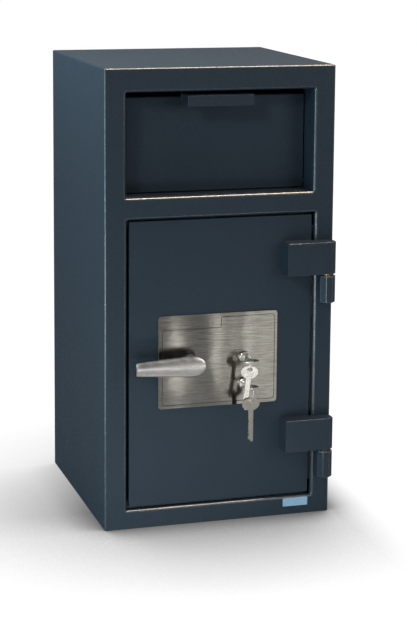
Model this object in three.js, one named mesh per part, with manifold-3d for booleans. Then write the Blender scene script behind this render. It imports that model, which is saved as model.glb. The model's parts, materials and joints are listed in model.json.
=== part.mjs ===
// A steel drop safe, in millimetres: a deposit hopper that tilts out of a recess, above a door with
// three locking bolts, two key locks, a lever handle and block hinges. +Z is up, the front faces -Y,
// and the origin is the middle of the underside. It is drawn closed, with its bolts drawn back.
import * as THREE from "three";
import { mergeVertices } from "three/addons/utils/BufferGeometryUtils.js";
import Module from "manifold-3d";

const wasm = await Module();
wasm.setup();

// The cabinet
const WIDTH = 508;
const DEPTH = 500;
const HEIGHT = 990;
const FRONT = -DEPTH / 2;
const REAR = DEPTH / 2;
const WALL = 4;
const FRAME = 10; // thickness of the front frame
const SHEET = 3; // folded sheet inside
const GAP = 0.3; // between two pieces that touch
const CORNER = 3; // radius of the cabinet's long corners
const EDGE = 1.5; // taken off the front edges of the two openings
const ANCHOR_HOLES = { x: [-170, 170], y: [-150, 170], radius: 7 };

// The recess that the hopper tilts out of
const RECESS_HALF = 208;
const RECESS_SILL = 718;
const RECESS_TOP = 939.5;
const RECESS_DEPTH = 61.5;
const CHUTE_REAR = -45; // where the chute's sides and the anti-fishing baffle stand
const CHUTE_BOTTOM = 640;
const SAW_TIPS = 788; // the baffle's teeth, and how tall they are
const SAW_HEIGHT = 12;

// The hopper, which turns about an axis along X
const PIVOT_Y = -178;
const PIVOT_Z = 732;
const HOPPER_TILT = 55; // degrees, fully open
const HOPPER_HALF = 205;
const PANEL_BOTTOM = 720;
const PANEL_TOP = 924;
const PANEL_FLANGE = 17; // turned over to the rear along its top
const CHEEK_SHEET = 2.5;
const CHEEK_REACH = 126; // from the pivot to the cheeks' straight rear edge
const CHEEK_RADIUS = 186;
const TRAY_LENGTH = 138;
const TRAY_SLOPE = -27; // degrees, falling to the rear when the hopper is shut
const PIVOT_PIN = 6;
const STOP_PIN = 4;
const STOP_RADIUS = 95;
const STOP_ANGLE = 65; // degrees up from the horizontal, in the YZ plane
const TAB_HALF = 73;
const TAB_TOP = 931;
const TAB_LIP = 25;
const TAB_ROOT = 27; // how far it is welded down the panel

// The door opening and the door's leaf
const OPENING_LEFT = -206;
const OPENING_RIGHT = 213;
const OPENING_BOTTOM = 41;
const OPENING_TOP = 672;
const LEAF_LEFT = -199;
const LEAF_RIGHT = 207;
const LEAF_BOTTOM = 47;
const LEAF_TOP = 667;
const LEAF_FACE = FRONT + 6;
const LEAF_BACK = LEAF_FACE + 12.7;
const JAMB_BOTTOM = 30;
const JAMB_TOP = 636;
const STOP_LIP = 16; // how far the door stops stand into the opening
const STOP_FOOT = 33;
const STOP_HALF = 205;
const LABEL = { left: 148, right: 205, bottom: 18.5, top: 37 };

// The hinges: eight-sided barrels whose flats stand clear of the frame as they turn
const HINGE_X = 234.5;
const HINGE_Y = -269.3;
const BARREL_FLATS = 34;
const HINGE_PIN = 6.2;
const BLOCK_BOTTOMS = { upper: 541, lower: 151 };
const BLOCK_HEIGHT = 71;
const BLOCK_LEFT = 140;
const BLOCK_FOOT = 205; // right of this the block stands clear of the leaf
const KNUCKLE_HEIGHT = 60;
const PIN_SEAT = 8; // from the knuckle's underside to the pin's foot
const PIN_RISE = 46; // of the pin in the block, whose bore goes a little higher
const WASHER = 2.4;
const WASHER_RADIUS = 11.5;

// The stainless face plate, the lever and the two locks behind it
const PLATE_CENTRE_X = -2.3;
const PLATE_CENTRE_Z = 359.8;
const PLATE_WIDTH = 267;
const PLATE_HEIGHT = 204;
const PLATE_THICK = 2.5;
const PLATE_FACE = LEAF_FACE - GAP - PLATE_THICK;
const HANDLE_X = -66;
const HANDLE_Z = 360;
const LOCK_X = 57;
const LOCK_UPPER_Z = 361.5;
const LOCK_LOWER_Z = 304;
const LOCK_CASE_TOP = 27.5; // above the lock's axis
const PLUG_RADIUS = 6.6;
const CYLINDER_RADIUS = 10;
const RIM_RADIUS = 13;
const SPINDLE_HOLE = 8;
const SPINDLE = 9; // across its flats
const SPINDLE_FRONT = -267.7;
const LEVER_TIP = -131; // measured from the lever's axis
const LEVER_ROUND = -12; // right of this the lever closes in a blunt half ellipse
const LEVER_NOSE = 23;
const LEVER_FRONT = -300; // at its tip
const LEVER_BACK = -282.5;
const TIP_CHAMFER = 1.5;

// The boltwork, all in one layer behind the leaf
const BAR_FRONT = -219.5;
const BAR_BACK = -213.5;
const BAR_MIDDLE = (BAR_FRONT + BAR_BACK) / 2;
const BAR_LEFT = -146;
const BAR_RIGHT = -118;
const BOLT_THROW = 28;
const BOLT_RADIUS = 10;
const BOLT_WINDOW = BOLT_RADIUS + 1.3; // half of each square window that a bolt passes
const BOLT_TIP = -198; // drawn back
const BOLT_HEIGHTS = { upper: 570, middle: 360, lower: 150 };
const STUD_HEIGHTS = { upper: 530, lower: 190 };
const STUD_X = -104;
const STUD_NECK = 4.2; // its radius where the bar slides on it
const CRANK_RADIUS = 28;
const CRANK_PIN = 3;
const CRANK_START = 30; // degrees past straight down, before the handle is turned by twice this
const LOCK_THROW = 13.4;
const LOCK_CRANK = LOCK_THROW / Math.SQRT2; // its pin rises this far in a quarter turn
const TONGUE = 6; // half the width of each lock bolt's tongue
const CAM_FRONT = -228.5;

// The keys
const KEY_LENGTH = 96;
const KEY_THICK = 2.5;
const KEY_BLADE = 5.5; // half its width
const KEY_BOW = 19.5; // half its width
const KEY_HOLE_DEPTH = 7.5; // from the bow's outer edge to the middle of its hole
const KEY_HOLE = 3.6; // half the height of its oblong hole
const KEY_OUTER_Y = -297; // the outer edge of an inserted key's bow
// Where the bitting is cut into the blade's left edge: from, to and how deep
const KEY_CUTS = [[50, 54, 2.2], [57, 60, 1.2], [72, 75, 1.6], [79, 83, 2.4]];

const degrees = THREE.MathUtils.degToRad;
const paint = [0x2f3b46, 0.42, 0.1];
const innerPaint = [0x2b343d, 0.55, 0.1];
const stainless = [0xb9b6ae, 0.3, 1.0];
const nickel = [0xc3beb6, 0.22, 1.0];
const zinc = [0x9aa0a4, 0.4, 1.0];
const bareSteel = [0x84878a, 0.35, 1.0];
const brass = [0xc99a3a, 0.3, 1.0];
const chrome = [0xd6d8da, 0.12, 1.0];
const paleBlue = [0x8fb0c8, 0.5, 0.0];

// Solids and surfaces

function solid(geometry) {
  const bare = geometry.index ? geometry.toNonIndexed() : geometry.clone();
  bare.deleteAttribute("normal");
  bare.deleteAttribute("uv");
  const merged = mergeVertices(bare, 1e-4);
  const vertProperties = merged.attributes.position.array;
  const triVerts = new Uint32Array(merged.index.array);
  return new wasm.Manifold(new wasm.Mesh({ numProp: 3, vertProperties, triVerts }));
}

function surface(manifold) {
  const mesh = manifold.getMesh();
  const shared = new THREE.BufferGeometry();
  shared.setAttribute("position", new THREE.BufferAttribute(mesh.vertProperties, 3));
  shared.setIndex(new THREE.BufferAttribute(mesh.triVerts, 1));
  const faceted = shared.toNonIndexed();
  faceted.computeVertexNormals();
  return faceted;
}

function piece(parent, name, shape, [color, roughness, metalness]) {
  const material = new THREE.MeshStandardMaterial({ color, roughness, metalness });
  const geometry = shape.isBufferGeometry ? shape : surface(shape);
  const mesh = new THREE.Mesh(geometry, material);
  mesh.name = name;
  parent.add(mesh);
  return mesh;
}

function group(parent, x = 0, y = 0, z = 0) {
  const made = new THREE.Group();
  made.position.set(x, y, z);
  parent.add(made);
  return made;
}

// An outline through corners [u, v, radius]; a corner that has a radius gets a tangent arc.
function outline(corners, steps = 3) {
  const points = corners.flatMap(([u, v, radius = 0], i) => {
    const here = new THREE.Vector2(u, v);
    if (radius === 0) return [here];
    const before = corners[(i + corners.length - 1) % corners.length];
    const after = corners[(i + 1) % corners.length];
    const back = new THREE.Vector2(before[0] - u, before[1] - v).normalize();
    const on = new THREE.Vector2(after[0] - u, after[1] - v).normalize();
    const half = Math.acos(THREE.MathUtils.clamp(back.dot(on), -1, 1)) / 2;
    const centre = back.clone().add(on).normalize();
    centre.multiplyScalar(radius / Math.sin(half)).add(here);
    const start = back.multiplyScalar(radius / Math.tan(half)).add(here).sub(centre);
    const end = on.multiplyScalar(radius / Math.tan(half)).add(here).sub(centre);
    const clockwise = start.cross(end) < 0;
    const arc = new THREE.EllipseCurve(
      centre.x, centre.y, radius, radius, start.angle(), end.angle(), clockwise,
    );
    return arc.getPoints(steps);
  });
  return new THREE.Shape(points);
}

function rectangle(u0, u1, v0, v1, radius = 0, steps = 3) {
  return outline([[u0, v0, radius], [u1, v0, radius], [u1, v1, radius], [u0, v1, radius]], steps);
}

function circle(u, v, radius, sides = 28) {
  const points = new THREE.EllipseCurve(u, v, radius, radius, 0, 2 * Math.PI).getPoints(sides);
  return new THREE.Shape(points.slice(0, -1));
}

function withHoles(shape, ...holes) {
  shape.holes.push(...holes);
  return shape;
}

// A flat outline thickened along one axis. It is drawn in YZ for x, in XZ for y and in XY for z.
const STANDING = {
  x: [[0, 1, 0], [0, 0, 1], [1, 0, 0]],
  y: [[1, 0, 0], [0, 0, 1], [0, -1, 0]],
  z: [[1, 0, 0], [0, 1, 0], [0, 0, 1]],
};

function slab(axis, shape, from, to, bevel = 0) {
  const geometry = new THREE.ExtrudeGeometry(shape, {
    depth: to - from - 2 * bevel,
    bevelEnabled: bevel > 0,
    bevelThickness: bevel,
    bevelSize: bevel,
    bevelOffset: -bevel,
    bevelSegments: 1,
  });
  geometry.translate(0, 0, bevel);
  const axes = STANDING[axis].map((v) => new THREE.Vector3(...v));
  geometry.applyMatrix4(new THREE.Matrix4().makeBasis(...axes));
  const start = axis === "y" ? to : from;
  geometry.translate(...["x", "y", "z"].map((name) => (name === axis ? start : 0)));
  return solid(geometry);
}

function block(x0, x1, y0, y1, z0, z1) {
  const geometry = new THREE.BoxGeometry(x1 - x0, y1 - y0, z1 - z0);
  geometry.translate((x0 + x1) / 2, (y0 + y1) / 2, (z0 + z1) / 2);
  return solid(geometry);
}

function rod(axis, u, v, radius, from, to, sides = 28) {
  return slab(axis, circle(u, v, radius, sides), from, to);
}

function join(first, ...others) {
  return others.reduce((sum, one) => sum.add(one), first);
}

function cut(first, ...others) {
  return others.reduce((rest, one) => rest.subtract(one), first);
}

// A turned piece from its profile [radius, y], which runs from the axis to the axis, along Y.
function turned(profile, sides = 32) {
  const points = profile.map(([radius, along]) => new THREE.Vector2(radius, along));
  return solid(new THREE.LatheGeometry(points, sides));
}

// What takes a 45 degree edge off an opening where it meets the face at y.
function edgeCutter(shape, y, size) {
  const geometry = new THREE.ExtrudeGeometry(shape, {
    depth: 0.02,
    bevelThickness: size,
    bevelSize: size,
    bevelSegments: 1,
  });
  geometry.rotateX(Math.PI / 2);
  geometry.translate(0, y, 0);
  return solid(geometry);
}

// The cabinet

function bodyWrap() {
  const outer = rectangle(-WIDTH / 2, WIDTH / 2, 0, HEIGHT, CORNER);
  const inner = rectangle(-WIDTH / 2 + WALL, WIDTH / 2 - WALL, WALL, HEIGHT - WALL);
  const shell = slab("y", withHoles(outer, inner), FRONT, REAR);
  const anchors = ANCHOR_HOLES.x.flatMap((x) =>
    ANCHOR_HOLES.y.map((y) => rod("z", x, y, ANCHOR_HOLES.radius, -1, WALL + 1, 16)),
  );
  return cut(shell, ...anchors);
}

function frontFrame() {
  const inset = WALL + GAP;
  const sheet = rectangle(-WIDTH / 2 + inset, WIDTH / 2 - inset, inset, HEIGHT - inset);
  const door = rectangle(OPENING_LEFT, OPENING_RIGHT, OPENING_BOTTOM, OPENING_TOP, CORNER);
  const recess = rectangle(-RECESS_HALF, RECESS_HALF, RECESS_SILL, RECESS_TOP, CORNER);
  const plate = slab("y", withHoles(sheet, door, recess), FRONT, FRONT + FRAME);
  return cut(plate, edgeCutter(door, FRONT, EDGE), edgeCutter(recess, FRONT, EDGE));
}

function backPanel() {
  const inset = WALL + GAP;
  const sheet = rectangle(-WIDTH / 2 + inset, WIDTH / 2 - inset, inset, HEIGHT - inset);
  return slab("y", sheet, REAR - WALL, REAR);
}

// The sill, roof and long sides of the recess, which go on to the rear as the chute's walls
function hopperSurround() {
  const front = FRONT + FRAME + GAP;
  const edge = RECESS_HALF + SHEET;
  const side = outline([
    [front, RECESS_SILL - SHEET],
    [FRONT + 36, RECESS_SILL - SHEET],
    [PIVOT_Y - 18, PIVOT_Z - 36, 8],
    [PIVOT_Y + 58, CHUTE_BOTTOM, 12],
    [CHUTE_REAR, CHUTE_BOTTOM, 12],
    [CHUTE_REAR, RECESS_TOP + SHEET],
    [front, RECESS_TOP + SHEET],
  ]);
  const walls = [-edge, RECESS_HALF].map((x) => slab("x", side, x, x + SHEET));
  const roof = block(-edge, edge, front, CHUTE_REAR, RECESS_TOP, RECESS_TOP + SHEET);
  const sillRear = FRONT + RECESS_DEPTH - 2;
  const sill = block(-edge, edge, front, sillRear, RECESS_SILL - SHEET, RECESS_SILL);
  const [stopY, stopZ] = stopPlace();
  const bores = [
    rod("x", PIVOT_Y, PIVOT_Z, PIVOT_PIN + 2 * GAP, -edge - 1, edge + 1),
    rod("x", stopY, stopZ, STOP_PIN + GAP, -edge - 1, edge + 1, 20),
  ];
  return cut(join(roof, ...walls, sill), ...bores);
}

// A plate that hangs behind the hopper, its saw teeth pointing down into the gap
function antiFishBaffle() {
  const half = RECESS_HALF - GAP;
  const teeth = 26;
  const pitch = (2 * half) / teeth;
  const roots = SAW_TIPS + SAW_HEIGHT;
  const lower = Array.from({ length: teeth }, (_, i) => [
    [-half + i * pitch, roots],
    [-half + (i + 0.5) * pitch, SAW_TIPS],
  ]).flat();
  const top = RECESS_TOP - GAP;
  const sheet = outline([...lower, [half, roots], [half, top], [-half, top]]);
  return slab("y", sheet, CHUTE_REAR - SHEET, CHUTE_REAR);
}

// An angle welded behind the frame: its web stands beside the opening
function jamb(webFrom, webTo, footFrom, footTo, rear) {
  const front = FRONT + FRAME + GAP;
  const web = block(webFrom, webTo, front, rear, JAMB_BOTTOM, JAMB_TOP);
  return web.add(block(footFrom, footTo, front, front + SHEET, JAMB_BOTTOM, JAMB_TOP));
}

function latchJamb() {
  const web = OPENING_LEFT - SHEET;
  const angle = jamb(web, OPENING_LEFT, web - 29, OPENING_LEFT, LEAF_BACK + 41.3);
  return cut(angle, ...boltWindows(web - 1, OPENING_LEFT + 1, BAR_MIDDLE - BOLT_WINDOW));
}

function hingeJamb() {
  const web = OPENING_RIGHT + 12;
  return jamb(web, web + SHEET, web, web + 21, LEAF_BACK + 31.3);
}

// Square windows for the three bolts through a wall between two x, from the given y rearwards
function boltWindows(x0, x1, y0) {
  return Object.values(BOLT_HEIGHTS).map((z) =>
    block(x0, x1, y0, BAR_MIDDLE + BOLT_WINDOW, z - BOLT_WINDOW, z + BOLT_WINDOW),
  );
}

// A folded strip whose lip the leaf closes against, above the opening or turned over below it
function doorStop(edge, away) {
  const front = FRONT + FRAME + GAP;
  const lip = LEAF_BACK + 1.4;
  const foot = edge + away * STOP_FOOT;
  const end = edge - away * STOP_LIP;
  const near = edge + away * GAP;
  const far = near + away * SHEET;
  const fold = outline([
    [front, foot],
    [front + SHEET, foot],
    [front + SHEET, far, 1],
    [lip + SHEET, far, 3],
    [lip + SHEET, end],
    [lip, end],
    [lip, near],
    [front, near, 3],
  ]);
  return slab("x", fold, -STOP_HALF, STOP_HALF);
}

function label() {
  const { left, right, bottom, top } = LABEL;
  return slab("y", rectangle(left, right, bottom, top, 1), FRONT - GAP - 0.5, FRONT - GAP);
}

function makeBody(safe) {
  const body = group(safe);
  piece(body, "body_wrap", bodyWrap(), paint);
  piece(body, "front_frame", frontFrame(), paint);
  piece(body, "back_panel", backPanel(), paint);
  piece(body, "hopper_surround", hopperSurround(), paint);
  piece(body, "anti_fish_baffle", antiFishBaffle(), innerPaint);
  piece(body, "latch_jamb", latchJamb(), innerPaint);
  piece(body, "hinge_jamb", hingeJamb(), innerPaint);
  piece(body, "header_stop", doorStop(OPENING_TOP, 1), innerPaint);
  piece(body, "sill_stop", doorStop(OPENING_BOTTOM, -1), innerPaint);
  piece(body, "serial_label", label(), paleBlue);
  return body;
}

// The hinges

function barrelCorner() {
  return (BARREL_FLATS / 2) * Math.tan(Math.PI / 8);
}

function hingeBlock() {
  const flat = BARREL_FLATS / 2;
  const corner = barrelCorner();
  const left = BLOCK_LEFT - HINGE_X;
  const step = BLOCK_FOOT - HINGE_X;
  const foot = LEAF_FACE - GAP - HINGE_Y;
  const plan = outline([
    [left, -flat, 1.5],
    [corner, -flat],
    [flat, -corner],
    [flat, corner],
    [corner, flat],
    [step, flat],
    [step, foot],
    [left, foot],
  ]);
  const bore = rod("z", 0, 0, HINGE_PIN + GAP, -1, PIN_RISE + 2, 24);
  return cut(slab("z", plan, 0, BLOCK_HEIGHT, 1.2), bore);
}

function hingeKnuckle() {
  const flat = BARREL_FLATS / 2;
  const corner = barrelCorner();
  const foot = FRONT - GAP - HINGE_Y;
  const plan = outline([
    [-corner, -flat],
    [corner, -flat],
    [flat, -corner],
    [flat, foot],
    [-flat, foot],
    [-flat, -corner],
  ]);
  const bore = rod("z", 0, 0, HINGE_PIN + GAP, PIN_SEAT, KNUCKLE_HEIGHT + 1, 24);
  return cut(slab("z", plan, 0, KNUCKLE_HEIGHT, 1.5), bore);
}

function makeHinge(body, door, name) {
  const blockBottom = BLOCK_BOTTOMS[name];
  const washerBottom = blockBottom - GAP - WASHER;
  const knuckleBottom = washerBottom - GAP - KNUCKLE_HEIGHT;
  piece(group(door, HINGE_X, HINGE_Y, blockBottom), `hinge_block_${name}`, hingeBlock(), paint);
  const knuckle = group(body, HINGE_X, HINGE_Y, knuckleBottom);
  piece(knuckle, `hinge_knuckle_${name}`, hingeKnuckle(), paint);
  const pinTop = blockBottom - knuckleBottom + PIN_RISE;
  const pin = rod("z", 0, 0, HINGE_PIN, PIN_SEAT + GAP, pinTop, 24);
  piece(knuckle, `hinge_pin_${name}`, pin, bareSteel);
  const ring = withHoles(circle(0, 0, WASHER_RADIUS), circle(0, 0, HINGE_PIN + GAP, 24));
  const washer = piece(knuckle, `hinge_washer_${name}`, slab("z", ring, 0, WASHER), brass);
  washer.position.z = washerBottom - knuckleBottom;
}

// The hopper

function stopPlace() {
  const angle = degrees(STOP_ANGLE);
  return [PIVOT_Y + STOP_RADIUS * Math.cos(angle), PIVOT_Z + STOP_RADIUS * Math.sin(angle)];
}

function hopperPanel() {
  const face = FRONT + RECESS_DEPTH;
  const fold = outline([
    [face, PANEL_BOTTOM],
    [face + SHEET, PANEL_BOTTOM],
    [face + SHEET, PANEL_TOP - SHEET, 1],
    [face + PANEL_FLANGE, PANEL_TOP - SHEET],
    [face + PANEL_FLANGE, PANEL_TOP],
    [face, PANEL_TOP, 4],
  ]);
  return slab("x", fold, -HOPPER_HALF, HOPPER_HALF);
}

// A hook of folded sheet on the panel's top edge, which the fingers reach behind from below
function pullTab() {
  const root = FRONT + RECESS_DEPTH - GAP;
  const lip = FRONT + 5;
  const foot = TAB_TOP - TAB_ROOT;
  const low = TAB_TOP - TAB_LIP;
  const fold = outline([
    [root, foot],
    [root, TAB_TOP, 4],
    [lip, TAB_TOP, 5],
    [lip, low, 1],
    [lip + SHEET, low, 1],
    [lip + SHEET, TAB_TOP - SHEET, 2],
    [root - SHEET, TAB_TOP - SHEET, 1],
    [root - SHEET, foot],
  ], 4);
  const bent = slab("x", fold, -TAB_HALF, TAB_HALF);
  const front = rectangle(-TAB_HALF, TAB_HALF, low, TAB_TOP + 20, 5);
  const corners = cut(
    block(-TAB_HALF - 1, TAB_HALF + 1, lip - 1, lip + 12, low - 1, low + 8),
    slab("y", front, lip - 2, lip + 13),
  );
  return cut(bent, corners);
}

function trayEnds() {
  const slope = degrees(TRAY_SLOPE);
  const start = new THREE.Vector2(FRONT + RECESS_DEPTH + SHEET + GAP, PANEL_BOTTOM + 1);
  const along = new THREE.Vector2(Math.cos(slope), Math.sin(slope));
  return { start, along, end: start.clone().addScaledVector(along, TRAY_LENGTH) };
}

// The tray falls to the rear when shut, and its toothed end rises to the baffle as it opens
function hopperTray() {
  const { start, along, end } = trayEnds();
  const drop = new THREE.Vector2(along.y, -along.x).multiplyScalar(SHEET);
  const heel = start.y + (along.y / along.x) * drop.x;
  const section = outline([
    [start.x, start.y],
    [start.x, heel + drop.y - (along.y / along.x) * drop.x],
    [end.x + drop.x, end.y + drop.y],
    [end.x, end.y],
  ]);
  const half = HOPPER_HALF - 0.5;
  const notches = 20;
  const depth = 9;
  const pitch = (2 * half) / notches;
  const spread = pitch * 0.35; // of a notch past the tray's end
  const gaps = Array.from({ length: notches }, (_, i) => {
    const middle = -half + (i + 0.5) * pitch;
    const vee = outline([
      [middle, end.x - depth],
      [middle + spread, end.x + SHEET + 1],
      [middle - spread, end.x + SHEET + 1],
    ]);
    return slab("z", vee, end.y - 4 * SHEET, end.y + 4 * SHEET);
  });
  return cut(slab("x", section, -half, half), ...gaps);
}

// One cheek in the YZ plane: a sector about the pivot, with the arc slot that the stop pin rides in
function hopperCheek(x) {
  const { along, end } = trayEnds();
  const lift = new THREE.Vector2(-along.y, along.x).multiplyScalar(GAP);
  const rear = PIVOT_Y + CHEEK_REACH;
  const front = FRONT + RECESS_DEPTH + SHEET + GAP;
  const sweep = Math.acos(CHEEK_REACH / CHEEK_RADIUS);
  const top = Math.acos((front - PIVOT_Y) / CHEEK_RADIUS);
  const arc = new THREE.EllipseCurve(PIVOT_Y, PIVOT_Z, CHEEK_RADIUS, CHEEK_RADIUS, sweep, top);
  const tip = end.clone().add(lift);
  const onTray = (y) => tip.y + ((y - tip.x) * along.y) / along.x;
  const sheet = new THREE.Shape([
    ...arc.getPoints(14),
    new THREE.Vector2(front, onTray(front)),
    new THREE.Vector2(tip.x - 6, onTray(tip.x - 6)),
    new THREE.Vector2(rear, PIVOT_Z - 50),
  ]);
  const slot = arcSlot(STOP_RADIUS, STOP_PIN + 0.8, STOP_ANGLE - HOPPER_TILT - 1, STOP_ANGLE + 1);
  const bore = circle(PIVOT_Y, PIVOT_Z, PIVOT_PIN + 0.4);
  return slab("x", withHoles(sheet, slot, bore), x, x + CHEEK_SHEET);
}

// A slot of constant width along an arc about the hopper's pivot, between two angles
function arcSlot(radius, half, fromDegrees, toDegrees) {
  const from = degrees(fromDegrees);
  const to = degrees(toDegrees);
  const bend = (r, a, b, steps) =>
    new THREE.EllipseCurve(PIVOT_Y, PIVOT_Z, r, r, a, b, b < a).getPoints(steps);
  const cap = (angle, a, b) => {
    const y = PIVOT_Y + radius * Math.cos(angle);
    const z = PIVOT_Z + radius * Math.sin(angle);
    return new THREE.EllipseCurve(y, z, half, half, a, b).getPoints(6).slice(1, -1);
  };
  return new THREE.Path([
    ...bend(radius + half, from, to, 12),
    ...cap(to, to, to + Math.PI),
    ...bend(radius - half, to, from, 12),
    ...cap(from, from + Math.PI, from + 2 * Math.PI),
  ]);
}

// A headed pin through the chute's wall and the cheek, mirrored by the sign of its side
function chutePin(side, y, z, radius) {
  const outside = RECESS_HALF + SHEET + GAP;
  const end = outside + 3.5;
  const onSide = (...places) => places.map((x) => side * x).sort((a, b) => a - b);
  const shank = rod("x", y, z, radius, ...onSide(HOPPER_HALF - 8, end), 20);
  return join(shank, rod("x", y, z, radius + 3, ...onSide(outside, end), 20));
}

function makeHopper(safe, body) {
  const hopper = group(safe);
  piece(hopper, "hopper_panel", hopperPanel(), paint);
  piece(hopper, "hopper_pull_tab", pullTab(), paint);
  piece(hopper, "hopper_tray", hopperTray(), paint);
  const inset = 0.5; // of each cheek from the panel's end
  piece(hopper, "hopper_cheek_left", hopperCheek(inset - HOPPER_HALF), paint);
  piece(hopper, "hopper_cheek_right", hopperCheek(HOPPER_HALF - inset - CHEEK_SHEET), paint);
  for (const [name, side] of [["left", -1], ["right", 1]]) {
    piece(body, `hopper_pivot_${name}`, chutePin(side, PIVOT_Y, PIVOT_Z, PIVOT_PIN), zinc);
    piece(body, `hopper_stop_${name}`, chutePin(side, ...stopPlace(), STOP_PIN), zinc);
  }
  return hopper;
}

// The door

// The holes that the lever's spindle and the two lock cylinders pass through
function frontBores() {
  const through = [PLATE_FACE - 1, LEAF_BACK + 1];
  return [
    rod("y", HANDLE_X, HANDLE_Z, SPINDLE_HOLE, ...through, 20),
    rod("y", LOCK_X, LOCK_UPPER_Z, CYLINDER_RADIUS + GAP, ...through),
    rod("y", LOCK_X, LOCK_LOWER_Z, CYLINDER_RADIUS + GAP, ...through),
  ];
}

function doorPlate() {
  const leaf = rectangle(LEAF_LEFT, LEAF_RIGHT, LEAF_BOTTOM, LEAF_TOP, 2);
  return cut(slab("y", leaf, LEAF_FACE, LEAF_BACK, 0.8), ...frontBores());
}

function facePlate() {
  const left = PLATE_CENTRE_X - PLATE_WIDTH / 2;
  const bottom = PLATE_CENTRE_Z - PLATE_HEIGHT / 2;
  const sheet = rectangle(left, left + PLATE_WIDTH, bottom, bottom + PLATE_HEIGHT, 7, 5);
  return cut(slab("y", sheet, PLATE_FACE, LEAF_FACE - GAP, 0.5), ...frontBores());
}

// A flat bar that hooks behind the frame on the hinge side, so cut hinges don't free the door
function deadBar() {
  const back = LEAF_BACK + GAP;
  const [left, right] = [LEAF_RIGHT - 17, OPENING_RIGHT + 9];
  const [bottom, top] = [LEAF_BOTTOM + 23, LEAF_TOP - 27];
  return slab("y", rectangle(left, right, bottom, top, 3), back, back + 10, 0.8);
}

// The angle that carries the three bolts where they leave the door
function boltGuide() {
  const back = LEAF_BACK + GAP;
  const [left, thick, wide, deep] = [-186, 4, 22, 31];
  const [bottom, top] = [100, 620];
  const web = block(left, left + thick, back, back + deep, bottom, top);
  const foot = block(left, left + wide, back, back + SHEET, bottom, top);
  const bores = Object.values(BOLT_HEIGHTS).map((z) =>
    rod("x", BAR_MIDDLE, z, BOLT_RADIUS + 0.5, left - thick, left + 2 * thick),
  );
  return cut(web.add(foot), ...bores);
}

// The folded cover over the boltwork, with a raised panel pressed into it. It slips over the bolts
// by three notches in its left wall.
function boltworkCover() {
  const front = LEAF_BACK + GAP;
  const back = -190;
  const skin = 1.5;
  const lip = 12; // of the flange round three sides
  const [left, right, bottom, top] = [-190, 170, 76, 632];
  const box = slab("y", rectangle(left, right, bottom, top, 4), front, back);
  const flange = block(left, right + lip, front, front + skin, bottom - lip, top + lip);
  const [margin, foot, height, corner] = [40, 64, 3, 14]; // of the raised panel
  const panel = (inset) => rectangle(
    left + margin + inset, right - margin - inset, bottom + foot + inset, top - foot - inset, corner - inset,
  );
  const raised = slab("y", panel(0), back - 2 * height, back + height, height);
  const pressing = slab("y", panel(2), back - 4 * height, back + height / 2, height);
  const inner = rectangle(left + skin, right - skin, bottom + skin, top - skin, 4 - skin);
  const hollow = slab("y", inner, front - 1, back - skin);
  const notches = boltWindows(left - 5, left + 5, front - 1);
  return cut(join(box, flange, raised), hollow, pressing, ...notches);
}

// A shouldered stud that holds the bolt bar between its collar and its head
function barStud() {
  const collar = 8;
  const head = 9;
  const end = BAR_BACK + 3.5;
  return turned([
    [0, LEAF_BACK + GAP],
    [collar, LEAF_BACK + GAP],
    [collar, BAR_FRONT - GAP],
    [STUD_NECK, BAR_FRONT - GAP],
    [STUD_NECK, BAR_BACK + GAP],
    [head, BAR_BACK + GAP],
    [head, end - 1],
    [head - 1.5, end],
    [0, end],
  ], 24);
}

function makeDoor(safe) {
  const door = group(safe);
  piece(door, "door_plate", doorPlate(), paint);
  piece(door, "face_plate", facePlate(), stainless);
  piece(door, "dead_bar", deadBar(), bareSteel);
  piece(door, "bolt_guide", boltGuide(), zinc);
  piece(door, "boltwork_cover", boltworkCover(), innerPaint);
  for (const [name, z] of Object.entries(STUD_HEIGHTS)) {
    piece(group(door, STUD_X, 0, z), `bar_stud_${name}`, barStud(), zinc);
  }
  return door;
}

// The boltwork

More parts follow.
